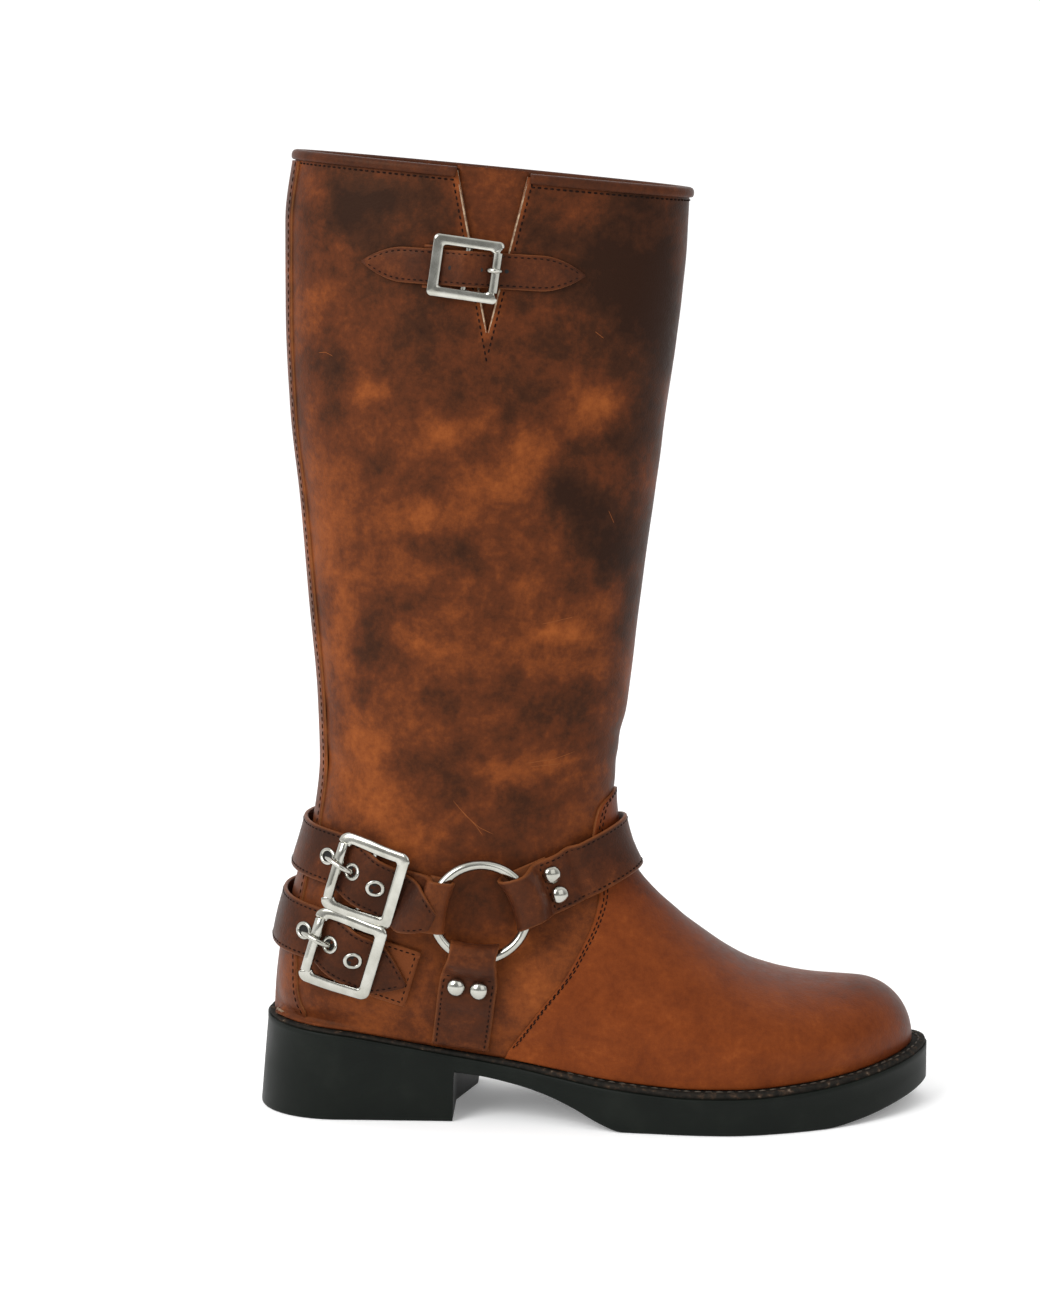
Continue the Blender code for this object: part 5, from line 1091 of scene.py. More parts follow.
def vamp_cut(station):
    """Share of the section's height where the vamp's edge crosses it, 0 where all is covered, or None."""
    row = UPPER.columns(station)
    back = np.array((row["back_x"], row["back_z"]))
    axis = np.array((row["front_x"], row["front_z"])) - back
    away = vamp_outline - back
    turn = axis[0] * away[:, 1] - axis[1] * away[:, 0]
    cross = np.nonzero(turn[:-1] * turn[1:] <= 0)[0]
    if len(cross) == 0:
        return 0.0 if station > UPPER.seat and row["back_x"] > VAMP_EDGE["x"][0] - 1.0 else None
    k = cross[-1]
    move = (vamp_outline[k + 1] - vamp_outline[k]) * turn[k]
    spot = vamp_outline[k] + move / (turn[k] - turn[k + 1] + 1e-12)
    share = float(np.dot(spot - back, axis) / np.dot(axis, axis))
    return share if share < 1.0 else None


def edge_shares(station, cut):
    """Shares round both halves of a section at a share of its height."""
    found = []
    for half in UPPER.halves(station):
        rise = half - half[0]
        axis = half[-1] - half[0]
        flat_axis = np.array((axis[0], 0.0, axis[2]))
        up = rise @ flat_axis / float(np.dot(flat_axis, flat_axis))
        length = run_length(half)
        found.append((float(np.interp(cut, up, length)), float(length[-1])))
    return found


low_station = UPPER.knots[7]
high_station = UPPER.knots[10]
for _ in range(40):
    middle = (low_station + high_station) / 2
    if vamp_cut(middle) is None:
        low_station = middle
    else:
        high_station = middle
tongue_station = high_station
vamp_stations = np.concatenate((
    tongue_station + np.array((0.0, 0.06, 0.25, 0.55, 1.0, 1.6, 2.4, 3.4)),
    np.arange(tongue_station + 4.6, UPPER.ball, 1.5),
    UPPER.ball + (UPPER.toe - UPPER.ball) * np.sin(np.linspace(0.02, math.pi / 2 - 0.03, 34)),
))
vamp_rows = []
vamp_edges = []
vamp_seams = {(side, inset): ([], []) for side in (0, 1) for inset in VAMP_STITCHES}


def on_upper(station, side, length, total, height):
    """A place over one half of a section, by its length from the bottom."""
    share = length / total / 2
    spot = UPPER.row(station, [share if side == 0 else 1.0 - share])[0]
    place, normal = SKIN.nearest(spot)
    place = place + normal * height
    place[2] = max(place[2], float(feather_height(place[0])) - 0.2)
    return place, normal


for station in vamp_stations:
    cut = vamp_cut(station)
    cut = 0.0 if cut is None and station > UPPER.seat else cut
    cut = 1.0 if cut is None else cut
    halves = edge_shares(station, cut)
    row = []
    edges = []
    for side in (0, 1):
        start, total = halves[side]
        room = max(0.0, total - start)
        part = []
        marks = []
        for inset, high in OVERLAY_EDGE:
            part.append(on_upper(station, side, start + min(inset, room * 0.3), total, VAMP_HIGH * high)[0])
            marks.append(1.0 if high < 0.8 else 0.0)
        first = min(OVERLAY_EDGE[-1][0], room * 0.3)
        for way in np.linspace(0.0, 1.0, 30)[1:]:
            part.append(on_upper(station, side, start + first + (room - first) * way, total, VAMP_HIGH)[0])
            marks.append(0.0)
        if 0.0 < cut < 1.0:
            for inset in VAMP_STITCHES:
                if room > inset + 1.0:
                    spot, normal = on_upper(station, side, start + inset, total, VAMP_HIGH + 0.05)
                    vamp_seams[side, inset][0].append(spot)
                    vamp_seams[side, inset][1].append(normal)
        row += part if side == 0 else part[::-1][1:]
        edges += marks if side == 0 else marks[::-1][1:]
    vamp_rows.append(row)
    vamp_edges.append(edges)
vamp_rows[-1] = [np.mean(vamp_rows[-1], axis=0)] * len(vamp_rows[-1])
vamp_rows = np.array(vamp_rows)


def vamp_tone_and_ridge_shade(points):
    """Painted shade: the vamp is darker along the instep ridge and lighter on its lower side; slow and fine
    noise add tone that varies at random.
    """
    tone = np.zeros(points.shape[:2])
    for i in range(points.shape[0]):
        for j in range(points.shape[1]):
            x, y, z = points[i, j]
            # Painted shade along the top of the instep.
            ridge = math.exp(-((y - 3.0) / 17.0) ** 2)
            drift = noise.noise((x * 0.022, y * 0.022, z * 0.03))
            fine = noise.noise((x * 0.06, y * 0.06, z * 0.06))
            tone[i, j] = 0.35 - 0.75 * ridge * (0.8 + 0.4 * drift) + 0.16 * drift + 0.08 * fine
    return tone


vamp_marks = {"tone_and_shade": vamp_tone_and_ridge_shade(vamp_rows)[::-1], "edge": np.array(vamp_edges)[::-1]}
vamp = sheet("boot_vamp", vamp_rows[::-1], vamp_marks)
VAMP_STOPS = (
    (0.08, (0.033, 0.0086, 0.004)), (0.3, (0.068, 0.015, 0.005)), (0.52, (0.113, 0.0238, 0.006)),
    (0.75, (0.157, 0.0345, 0.0076)), (0.95, (0.222, 0.053, 0.0115)),
)
vamp_leather = leather("leather_vamp", VAMP_STOPS, ORANGE_EDGE, 0.28, 0.42)
fasten(vamp, "leather_brown", vamp_leather, "vamp")
seams = [thread_row(spots, normals, 2.7) for spots, normals in vamp_seams.values() if len(spots) > 4]
sew("boot_vamp_stitches", seams, "leather_brown", thread, 2.0, 0.3)

# Back stay: a leather strip over the back seam, from the collar down, that flares over the heel.
# It is sewn down along both edges and lies under the heel straps.
STAY_TOP_Z = 391.6
STAY_AXIS_X = 55.0
STAY_HIGH = 1.0
STAY_STITCH = 2.0
STAY = {
    "z": (36.0, 60.0, 95.0, 130.0, 190.0, 395.0),
    "half": (29.0, 27.0, 19.5, 14.5, 13.0, 12.0),
}


def round_back(height, side, lengths):
    """Places at one height, by their length round from the back seam."""
    line = []
    for turn in np.radians(np.linspace(90.0, 5.0, 60)):
        away = (-math.sin(turn), side * math.cos(turn), 0.0)
        line.append(SKIN.hit((STAY_AXIS_X, 0.0, height), away)[0])
    line = np.array(line)
    length = run_length(line)
    return [at_length(line, length, one) for one in lengths]


stay_rows = []
stay_edges = []
stay_seams = {-1: ([], []), 1: ([], [])}
heel_bottom = float(feather_height(FEATHER_BACK + 1.0)) + 2.0
stay_levels = np.concatenate((np.linspace(STAY_TOP_Z, 62.0, 120), np.linspace(60.0, heel_bottom, 14)))
for level in stay_levels:
    half = float(smooth(STAY["z"], STAY["half"], level))
    insets = [inset for inset, _ in OVERLAY_EDGE] + list(1.5 + (half - 1.5) * np.linspace(0.0, 1.0, 9)[1:])
    heights = [high for _, high in OVERLAY_EDGE] + [1.0] * 8
    row = []
    edges = []
    for side in (-1, 1):
        part = []
        for place, high in zip(round_back(level, side, [half - inset for inset in insets]), heights):
            spot, normal = SKIN.nearest(place)
            part.append(spot + normal * STAY_HIGH * high)
        marks = [1.0 if high < 0.8 else 0.0 for high in heights]
        spot, normal = SKIN.nearest(round_back(level, side, [half - STAY_STITCH])[0])
        stay_seams[side][0].append(spot + normal * (STAY_HIGH + 0.05))
        stay_seams[side][1].append(normal)
        row += part if side < 0 else part[::-1][1:]
        edges += marks if side < 0 else marks[::-1][1:]
    stay_rows.append(row)
    stay_edges.append(edges)
stay_rows.append([(p[0], p[1], float(feather_height(p[0])) - 0.1) for p in stay_rows[-1]])
stay_edges.append(stay_edges[-1])
stay_rows.insert(0, [SKIN.nearest(p)[0] for p in stay_rows[0]])
stay_edges.insert(0, [1.0] * len(stay_edges[0]))
stay_rows = np.array(stay_rows)
stay = sheet("boot_back_stay", stay_rows, {"tone_and_shade": clouds_and_edge_shade(stay_rows), "edge": np.array(stay_edges) * 0.3})
fasten(stay, "leather_brown", shaft_leather, "back_stay")
seams = [thread_row(spots, normals, 3.0) for spots, normals in stay_seams.values()]
sew("boot_stay_stitches", seams, "leather_brown", thread, 2.2, 0.3)

# Harness rings: rings of nickel-plated wire, welded shut, one on each side of the ankle.
# Three straps fold round each of them, and their pull holds it flat over the upper.
STRAP_THICK = 1.7
STRAP_LOW = 2 * GAP + STRAP_THICK / 2
OVER_PANEL = 3.2 + STRAP_THICK / 2
RING_X = 93.5
RING_Z = 90.2
RING_RADIUS = 19.4
RING_WIRE = 2.1
RING_CLEAR = 5.2
NICKEL_STOPS = ((0.3, (0.36, 0.355, 0.31)), (0.7, (0.5, 0.495, 0.45)))
nickel, tree, shader, haze = speckled("nickel", NICKEL_STOPS, 160.0, 5.0, {"Metallic": 1.0})
rough = node(tree, "ShaderNodeMapRange", {"Value": haze, "To Min": 0.08, "To Max": 0.26}).outputs["Result"]
tree.links.new(rough, shader.inputs["Roughness"])


def ring_place(side):
    """Middle and axis of a harness ring that lies flat over the upper and clears it all round."""
    spots = []
    normals = []
    for turn in np.linspace(0.0, 2 * math.pi, 16, endpoint=False):
        x_here = RING_X + RING_RADIUS * math.cos(turn)
        z_here = RING_Z + RING_RADIUS * math.sin(turn)
        spot, normal = SKIN.side(x_here, z_here, side)
        spots.append(spot)
        normals.append(normal)
    axis = np.mean(normals, axis=0)
    axis /= np.linalg.norm(axis)
    place = SKIN.side(RING_X, RING_Z, side)[0]
    highest = max(float(np.dot(spot - place, axis)) for spot in spots)
    return place + axis * (max(highest, 0.0) + RING_CLEAR), axis


for label, side in (("lateral", -1), ("medial", 1)):
    ring_middle, ring_axis = ring_place(side)
    bpy.ops.object.select_all(action="DESELECT")
    bpy.ops.mesh.primitive_torus_add(
        location=tuple(to_world(ring_middle)), rotation=Vector(ring_axis).to_track_quat("Z", "Y").to_euler(),
        major_radius=RING_RADIUS * 0.001, minor_radius=RING_WIRE * 0.001,
        major_segments=96, minor_segments=20,
    )
    ring = bpy.context.object
    ring.name = "boot_ring_" + label
    bpy.ops.object.transform_apply(location=True, rotation=True, scale=True)
    bpy.ops.object.shade_smooth()
    fasten(ring, "nickel", nickel, "ring_" + label)

# Front strap: one strap over the instep from ring to ring, its ends folded round the rings.
# Each end is doubled back, sewn across and held by two rivets; the long edges are sewn.
RING_LOOP = 1.5
FOLD = 19.3
LOOP_TOP = 22.4
LOOP_SLOPE = (25.2, 28.2)
DOUBLED_END = 37.0
SINGLE_FROM = 43.0
BOW_END = 32.0
BOW_FADE = 9.0
BOW_SHARE = 0.4
FRONT_STRAP_WIDE = 24.2
FRONT_STRAP_Z = 88.2
FRONT_STRAP_SLOPE = 21.4
FRONT_RIVET = (32.4, 4.8)
RIVET_RADIUS = 3.8
RIVET_HIGH = 1.9
EDGE_STITCH = 1.7
# Seams at a folded end: where the edge seams start, and how far a seam across stays off the edges.
LOOP_SEAM = 29.0
CROSS_SEAM_IN = 2.0
# Length and thickness of a strap's stitches.
STRAP_STITCH = (1.7, 0.32)
STRAP_CROWN = 0.57
# Section of a strap: share of the half width, share of the thickness, raw edge.
STRAP_SECTION = (
    (-1.0, -0.3, 1), (-1.0, 0.2, 1), (-0.975, 0.4, 0.5), (-0.91, 0.5, 0), (-0.84, 0.43, 0), (-0.77, 0.5, 0),
    (-0.4, 0.55, 0), (0.0, STRAP_CROWN, 0), (0.4, 0.55, 0), (0.77, 0.5, 0), (0.84, 0.43, 0), (0.91, 0.5, 0),
    (0.975, 0.4, 0.5), (1.0, 0.2, 1), (1.0, -0.3, 1), (0.97, -0.5, 0.5), (0.0, -0.5, 0), (-0.97, -0.5, 0.5),
)


class Path:
    """A line along the upper's surface: a place is read by length, offset across and height."""

    def __init__(self, points):
        read = [SKIN.nearest(p) for p in points]
        self.points = np.array([place for place, _ in read])
        normals = np.array([normal for _, normal in read])
        self.length = run_length(self.points)
        tangent = np.gradient(self.points, axis=0)
        tangent /= np.linalg.norm(tangent, axis=1, keepdims=True)
        across = np.cross(normals, tangent)
        self.across = across / np.linalg.norm(across, axis=1, keepdims=True)
        self.total = float(self.length[-1])

    def frame(self, along, across, height):
        point = at_length(self.points, self.length, along)
        side = at_length(self.across, self.length, along)
        spot, normal = SKIN.nearest(point + side * across)
        return spot + normal * height, normal

    def place(self, along, across, height):
        return self.frame(along, across, height)[0]

    def nearest_length(self, x, z):
        far = (self.points[:, 0] - x) ** 2 + (self.points[:, 2] - z) ** 2
        far = far + np.where(self.points[:, 1] > 0, 1e6, 0.0)
        return float(self.length[np.argmin(far)])


def side_path(start, end, side, count=60):
    """A path that is straight in the side view."""
    start = np.array(start)
    move = np.array(end) - start
    rows = []
    for way in np.linspace(0.0, 1.0, count):
        x_here, z_here = start + move * way
        rows.append(SKIN.side(x_here, z_here, side)[0])
    return Path(rows)


def ring_height(path, side, from_start):
    """Height of the ring over the upper where a strap folds round it."""
    middle, normal = ring_place(side)
    toward = path.place(RING_RADIUS if from_start else path.total - RING_RADIUS, 0.0, 0.0) - middle
    toward = toward - normal * float(np.dot(toward, normal))
    spot = middle + toward / np.linalg.norm(toward) * RING_RADIUS
    return float(np.linalg.norm(spot - SKIN.nearest(spot)[0]))


def ring_end(height, tuck=33.0):
    """Profile of a strap end folded round a ring, from its tucked end out along the strap."""
    high = height + RING_WIRE + RING_LOOP + STRAP_THICK / 2
    middle = (high + STRAP_LOW) / 2
    radius = (high - STRAP_LOW) / 2
    rows = [(tuck, STRAP_LOW), ((tuck + FOLD) / 2, STRAP_LOW), (FOLD + 1.0, STRAP_LOW)]
    for turn in np.linspace(-90.0, -270.0, 8):
        angle = math.radians(turn)
        rows.append((FOLD + radius * math.cos(angle), middle + radius * math.sin(angle)))
    doubled = STRAP_LOW + STRAP_THICK + GAP + 0.2
    rows.append((LOOP_TOP, high))
    if tuck > LOOP_SLOPE[1]:
        rows += [(LOOP_SLOPE[0], high * 0.55 + doubled * 0.45), (LOOP_SLOPE[1], doubled)]
        rows += [(DOUBLED_END, doubled), (SINGLE_FROM, STRAP_LOW)]
    else:
        rows += [(tuck + 1.0, doubled), (tuck + 7.0, STRAP_LOW)]
    return rows


def ring_bow(along, across, total, looped):
    """How far a fold round a ring lies back at a distance from the strap's middle line."""
    inside = RING_RADIUS - RING_WIRE
    bow = (inside - math.sqrt(inside ** 2 - across ** 2)) * BOW_SHARE
    if looped[0] and along < total / 2:
        return -bow * min(1.0, max(0.0, (BOW_END - along) / BOW_FADE))
    if looped[1] and along > total / 2:
        return bow * min(1.0, max(0.0, (BOW_END - total + along) / BOW_FADE))
    return 0.0


def fine_line(profile, step=1.5):
    """A smooth line through the rows of a profile, with rows about a step apart."""
    rows = np.array(profile, float)
    ends = np.vstack((rows[0] * 2 - rows[1], rows, rows[-1] * 2 - rows[-2]))
    line = []
    for k in range(len(rows) - 1):
        a, b, c, d = ends[k:k + 4]
        count = max(1, int(np.linalg.norm(c - b) / step))
        before = max(np.linalg.norm(b - a), 1e-6)
        here = max(np.linalg.norm(c - b), 1e-6)
        after = max(np.linalg.norm(d - c), 1e-6)
        out = (c - a) / (before + here) * here
        into = (d - b) / (here + after) * here
        for t in np.arange(count) / count:
            line.append(
                (1 + 2 * t) * (1 - t) ** 2 * b + t * (1 - t) ** 2 * out
                + t * t * (3 - 2 * t) * c + t * t * (t - 1) * into
            )
    line.append(rows[-1])
    return np.array(line)


def strap(name, path, profile, half_width, thick, looped=(False, False), tone=0.0):
    """One node's strap along a profile of (length, height) on a path; half_width may be a function."""
    line = fine_line(profile)
    tangent = np.gradient(line, axis=0)
    tangent /= np.linalg.norm(tangent, axis=1, keepdims=True)
    lift = np.stack((-tangent[:, 1], tangent[:, 0]), axis=1) * thick
    rows = []
    tone_and_shade = []
    edge = []
    for k in range(len(line)):
        half = half_width(line[k, 0]) if callable(half_width) else half_width
        row = []
        for share, up, _ in STRAP_SECTION:
            along, height = line[k] + lift[k] * up
            across = share * half
            row.append(path.place(along + ring_bow(along, across, path.total, looped), across, height))
        rows.append(row)
        edge.append([mark for _, _, mark in STRAP_SECTION])
        tone_and_shade.append([tone + 0.5 * noise.noise((p[0] * 0.045, p[1] * 0.045, p[2] * 0.045)) for p in row])
    edge.insert(0, [1.0] * len(STRAP_SECTION))
    edge.append([1.0] * len(STRAP_SECTION))
    tone_and_shade.insert(0, tone_and_shade[0])
    tone_and_shade.append(tone_and_shade[-1])
    piece = sheet("boot_" + name, capped(rows), {"edge": edge, "tone_and_shade": tone_and_shade}, closed=True)
    return fasten(piece, "strap_brown", strap_leather, name)


def strap_seam(path, profile, half_width, inset, start, end, side, thick):
    """A row of stitches along one edge of a strap, between two lengths."""
    spots = []
    normals = []
    heights = top_heights(profile)
    for along in np.linspace(start, end, max(4, int(abs(end - start) / 1.5))):
        height = float(np.interp(along, heights[:, 0], heights[:, 1]))
        half = half_width(along) if callable(half_width) else half_width
        spot, normal = path.frame(along, side * (half - inset), height + thick * 0.5 - 0.05)
        spots.append(spot)
        normals.append(normal)
    return thread_row(spots, normals, 2.5)


def top_heights(profile):
    """The upper run of a strap's profile as rows of rising length."""
    line = fine_line(profile, 0.8)
    found = {}
    for along, height in line:
        key = round(along * 2.0) / 2.0
        found[key] = max(height, found.get(key, -9.0))
    return np.array(sorted(found.items()))


def cross_seam(path, profile, along, half, thick):
    """A row of stitches straight across a strap."""
    heights = top_heights(profile)
    height = float(np.interp(along, heights[:, 0], heights[:, 1]))
    read = [path.frame(along, across, height + thick * 0.5) for across in np.linspace(-half, half, 12)]
    return thread_row([spot for spot, _ in read], [normal for _, normal in read], 2.6)


def rivet(name, path, along, across, height, node_name):
    """A domed rivet head set on a strap."""
    low, axis = path.frame(along, across, height)
    bpy.ops.object.select_all(action="DESELECT")
    bpy.ops.mesh.primitive_uv_sphere_add(segments=32, ring_count=16, radius=1.0)
    piece = bpy.context.object
    piece.name = name
    bpy.ops.object.mode_set(mode="EDIT")
    bpy.ops.mesh.select_all(action="SELECT")
    bpy.ops.mesh.bisect(plane_co=(0, 0, 0.0), plane_no=(0, 0, 1), clear_inner=True, use_fill=True)
    bpy.ops.object.mode_set(mode="OBJECT")
    piece.location = tuple(to_world(low - axis * 0.1))
    piece.rotation_euler = Vector(axis).to_track_quat("Z", "Y").to_euler()
    piece.scale = (RIVET_RADIUS * 0.001, RIVET_RADIUS * 0.001, (RIVET_HIGH + 0.5) * 0.001)
    bpy.ops.object.transform_apply(location=True, rotation=True, scale=True)
    bpy.ops.object.shade_smooth_by_angle(angle=math.radians(50))
    return fasten(piece, "nickel", nickel, node_name)


front_rows = []
slant = math.radians(FRONT_STRAP_SLOPE)
for angle in np.linspace(0.0, math.pi, 140):
    front_rows.append(SKIN.hit(
        (RING_X, 0.0, FRONT_STRAP_Z),
        (math.sin(angle) * math.cos(slant), -math.cos(angle), math.sin(angle) * math.sin(slant)),
    )[0])
front_path = Path(front_rows)
front_profile = ring_end(ring_height(front_path, -1, True))
for along in np.linspace(47.0, front_path.total - 47.0, 15):
    front_profile.append((along, OVER_PANEL))
for along, height in reversed(ring_end(ring_height(front_path, 1, False))):
    front_profile.append((front_path.total - along, height))
front_half = FRONT_STRAP_WIDE / 2
strap("strap_front", front_path, front_profile, front_half, STRAP_THICK, (True, True))
front_seams = []
for side in (-1, 1):
    front_seams.append(strap_seam(
        front_path, front_profile, front_half, EDGE_STITCH, LOOP_SEAM, front_path.total - LOOP_SEAM, side,
        STRAP_THICK,
    ))
for along in (LOOP_SEAM, front_path.total - LOOP_SEAM):
    front_seams.append(cross_seam(front_path, front_profile, along, front_half - CROSS_SEAM_IN, STRAP_THICK))
sew("boot_front_strap_stitches", front_seams, "strap_brown", thread, *STRAP_STITCH)
rivet_height = STRAP_LOW + STRAP_THICK * 1.5 + 2 * GAP + 0.5
for label, along in (("lateral", FRONT_RIVET[0]), ("medial", front_path.total - FRONT_RIVET[0])):
    for number, across in ((1, -FRONT_RIVET[1]), (2, FRONT_RIVET[1])):
        end = "rivet_front_%s_%d" % (label, number)
        rivet("boot_" + end, front_path, along, across, rivet_height, end)

# Down straps: a strap from each ring straight down to the sole, which holds the ring from below.
# The end folded round the ring is narrowed, doubled back, sewn across and held by two rivets.
DOWN_STRAP_WIDE = 23.6
DOWN_STRAP_FOOT = (85.3, 31.5)
DOWN_STRAP_NARROW = 0.84
DOWN_STRAP_TAPER = (22.0, 30.0)
DOWN_RIVET = (32.0, 4.7)


def down_width(along):
    return DOWN_STRAP_WIDE / 2 * float(np.interp(along, DOWN_STRAP_TAPER, (DOWN_STRAP_NARROW, 1.0)))


down_seams = []
for label, side in (("lateral", -1), ("medial", 1)):
    down_path = side_path((RING_X, RING_Z), DOWN_STRAP_FOOT, side)
    down_profile = ring_end(ring_height(down_path, side, True))
    for along in np.linspace(46.0, down_path.total - 0.4, 4):
        down_profile.append((along, STRAP_LOW + 0.3))
    strap("strap_down_" + label, down_path, down_profile, down_width, STRAP_THICK, (True, False), 0.15)
    for edge_side in (-1, 1):
        down_seams.append(strap_seam(
            down_path, down_profile, down_width, EDGE_STITCH, LOOP_SEAM, down_path.total - 1.0, edge_side,
            STRAP_THICK,
        ))
    across_half = DOWN_STRAP_WIDE / 2 - CROSS_SEAM_IN
    down_seams.append(cross_seam(down_path, down_profile, LOOP_SEAM - 1.0, across_half, STRAP_THICK))
    for number, across in ((1, -DOWN_RIVET[1]), (2, DOWN_RIVET[1])):
        end = "rivet_down_%s_%d" % (label, number)
        rivet("boot_" + end, down_path, DOWN_RIVET[0], across, rivet_height, end)
sew("boot_down_strap_stitches", down_seams, "strap_brown", thread, *STRAP_STITCH)

# Heel straps: two straps round the back of the heel, each through a roller buckle on the lateral side.
# The upper one is looped round the medial ring, its anchor round the lateral ring; the lower one is
# sewn down, with a sewn tab under its pointed tip.
HEEL_STRAP_WIDE = 21.8
HEEL_AXIS_X = 55.0
HEEL_UPPER = {
    "angle": (-33.0, 7.0, 36.0, 90.0, 144.0, 173.0, 200.0, 227.6),
    "z": (86.6, 100.4, 109.4, 111.5, 110.8, 102.9, 95.8, 90.2),
}
HEEL_LOWER = {
    "angle": (-14.0, 20.0, 45.0, 90.0, 135.0, 160.0, 194.0),
    "z": (59.2, 69.6, 78.4, 81.0, 80.0, 72.4, 61.0),
}
UPPER_BUCKLE_AT = (46.6, 99.2)
LOWER_BUCKLE_AT = (38.4, 69.8)
TAB_WIDE = 24.0
TAB_END = (66.4, 61.4)
HEEL_BUCKLE_STRAP = {
    "u": (-15.5, -12.3, -7.6, -2.6, 0.0, 2.6, 7.4, 12.3, 18.0, 30.0),
    "h": (4.1, 3.5, 3.55, 5.6, 6.0, 5.6, 3.5, 2.6, 2.9, OVER_PANEL),
}
TIP_LONG = 15.0
# Half length of the run over the back stay, and the length over which the strap then sinks.
OVER_STAY = (34.0, 14.0)


def heel_path(table):
    """A path round the heel from a table of angles and heights."""
    rows = []
    for angle in np.linspace(table["angle"][0], table["angle"][-1], 150):
        turn = math.radians(angle)
        start = (HEEL_AXIS_X, 0.0, float(smooth(table["angle"], table["z"], angle)))
        rows.append(SKIN.hit(start, (-math.sin(turn), -math.cos(turn), 0.0))[0])
    return Path(rows)


def heel_width(along):
    """Half width of a heel strap, with a pointed tip at the start of its path."""
    share = min(1.0, max(0.0, along / TIP_LONG))
    return HEEL_STRAP_WIDE / 2 * (0.04 + 0.96 * (0.35 * math.sin(share * math.pi / 2) + 0.65 * share))


def heel_billet(path, middle, start_heights, end_rows):
    """Profile of a heel strap from its tip through its buckle and round the back."""
    rows = [(middle + u, h) for u, h in start_heights]
    rows += [(middle + u, h) for u, h in zip(HEEL_BUCKLE_STRAP["u"], HEEL_BUCKLE_STRAP["h"])]
    finish = end_rows[0][0] if end_rows else path.total - 0.5
    back = float(path.length[np.argmin(path.points[:, 0])])
    for along in np.linspace(middle + 36.0, finish - 7.0, 16):
        over = max(0.0, 1.0 - (max(0.0, abs(along - back) - OVER_STAY[0]) / OVER_STAY[1]))
        rows.append((along, STRAP_LOW + (OVER_PANEL - STRAP_LOW) * min(1.0, over)))
    return rows + (end_rows or [(finish, STRAP_LOW)])


upper_path = heel_path(HEEL_UPPER)
upper_middle = upper_path.nearest_length(*UPPER_BUCKLE_AT)
anchor_path = side_path((RING_X, RING_Z), (UPPER_BUCKLE_AT[0] - 1.0, UPPER_BUCKLE_AT[1]), -1)
anchor_height = ring_height(anchor_path, -1, True)
over_ring = anchor_height + RING_WIRE + RING_LOOP + STRAP_THICK * 1.5 + 3 * GAP
medial_rows = []
for along, height in reversed(ring_end(ring_height(upper_path, 1, False))):
    medial_rows.append((upper_path.total - along, height))
tip_rows = [
    (-upper_middle + 4.0, over_ring + 0.2), (-upper_middle + 8.0, over_ring + 0.2), (-24.4, over_ring),
    (-20.4, over_ring * 0.72 + 1.0), (-17.2, 6.0),
]
upper_rows = heel_billet(upper_path, upper_middle, tip_rows, medial_rows)
strap("strap_heel_upper", upper_path, upper_rows, heel_width, STRAP_THICK, (False, True), -0.15)
anchor_rows = ring_end(anchor_height, 23.4)
for along in np.linspace(37.0, anchor_path.total - 1.0, 3):
    anchor_rows.append((along, STRAP_LOW))
strap("anchor_heel_upper", anchor_path, anchor_rows, HEEL_STRAP_WIDE / 2, STRAP_THICK, (True, False), 0.45)

lower_path = heel_path(HEEL_LOWER)
lower_middle = lower_path.nearest_length(*LOWER_BUCKLE_AT)
low_tip = [(-lower_middle + along, 4.2) for along in (0.6, 4.5, 9.0)] + [(-19.0, 4.2)]
lower_rows = heel_billet(lower_path, lower_middle, low_tip, [])
strap("strap_heel_lower", lower_path, lower_rows, heel_width, STRAP_THICK, tone=-0.1)
tab_path = side_path((LOWER_BUCKLE_AT[0] + 0.5, LOWER_BUCKLE_AT[1]), TAB_END, -1)
tab_rows = []
for share in np.linspace(0.0, 1.0, 6):
    rise = float(np.interp(share, (0.4, 0.7), (0.0, 1.0)))
    tab_rows.append((tab_path.total * share, STRAP_LOW + GAP * rise))
strap("anchor_tab_lower", tab_path, tab_rows, TAB_WIDE / 2, STRAP_THICK, tone=0.8)
heel_seams = []
heel_runs = (
    (upper_path, upper_rows, 6.0, upper_path.total - LOOP_SEAM),
    (lower_path, lower_rows, 3.0, lower_path.total - 1.0),
)
for path, rows, first, last in heel_runs:
    for side in (-1, 1):
        heel_seams.append(strap_seam(path, rows, heel_width, EDGE_STITCH, first, last, side, STRAP_THICK))
for side in (-1, 1):
    heel_seams.append(strap_seam(
        tab_path, tab_rows, TAB_WIDE / 2, EDGE_STITCH, tab_path.total - 14.0, tab_path.total - 1.6, side,
        STRAP_THICK,
    ))
heel_seams.append(cross_seam(
    tab_path, tab_rows, tab_path.total - 1.8, TAB_WIDE / 2 - CROSS_SEAM_IN, STRAP_THICK
))
sew("boot_heel_strap_stitches", heel_seams, "strap_brown", thread, *STRAP_STITCH)

# Eyelets: pressed nickel-plated rings in the punched holes of the heel straps, three on each.
# Their rims are rolled over and lie flat on the leather.
EYELET_RADIUS = 3.6
EYELET_HOLE = 2.1
EYELET_SECTION = ((0.0, -0.9), (0.0, 0.5), (0.22, 0.85), (0.55, 0.9), (0.85, 0.6), (1.0, 0.1), (1.0, -0.4))
HEEL_HOLES = (-4.6, 6.6, 19.0)
HOLE_CLEAR = 0.06
# The holes are drawn as near-black discs just over the straps: painted shade inside each hole.
dark = new_material("hole_painted_shade", {"Base Color": (0.006, 0.005, 0.004, 1.0), "Roughness": 0.9})[0]


def billet_height(along):
    """Height of a heel strap's middle over the upper, by length from its buckle."""
    return float(smooth(HEEL_BUCKLE_STRAP["u"], HEEL_BUCKLE_STRAP["h"], along))


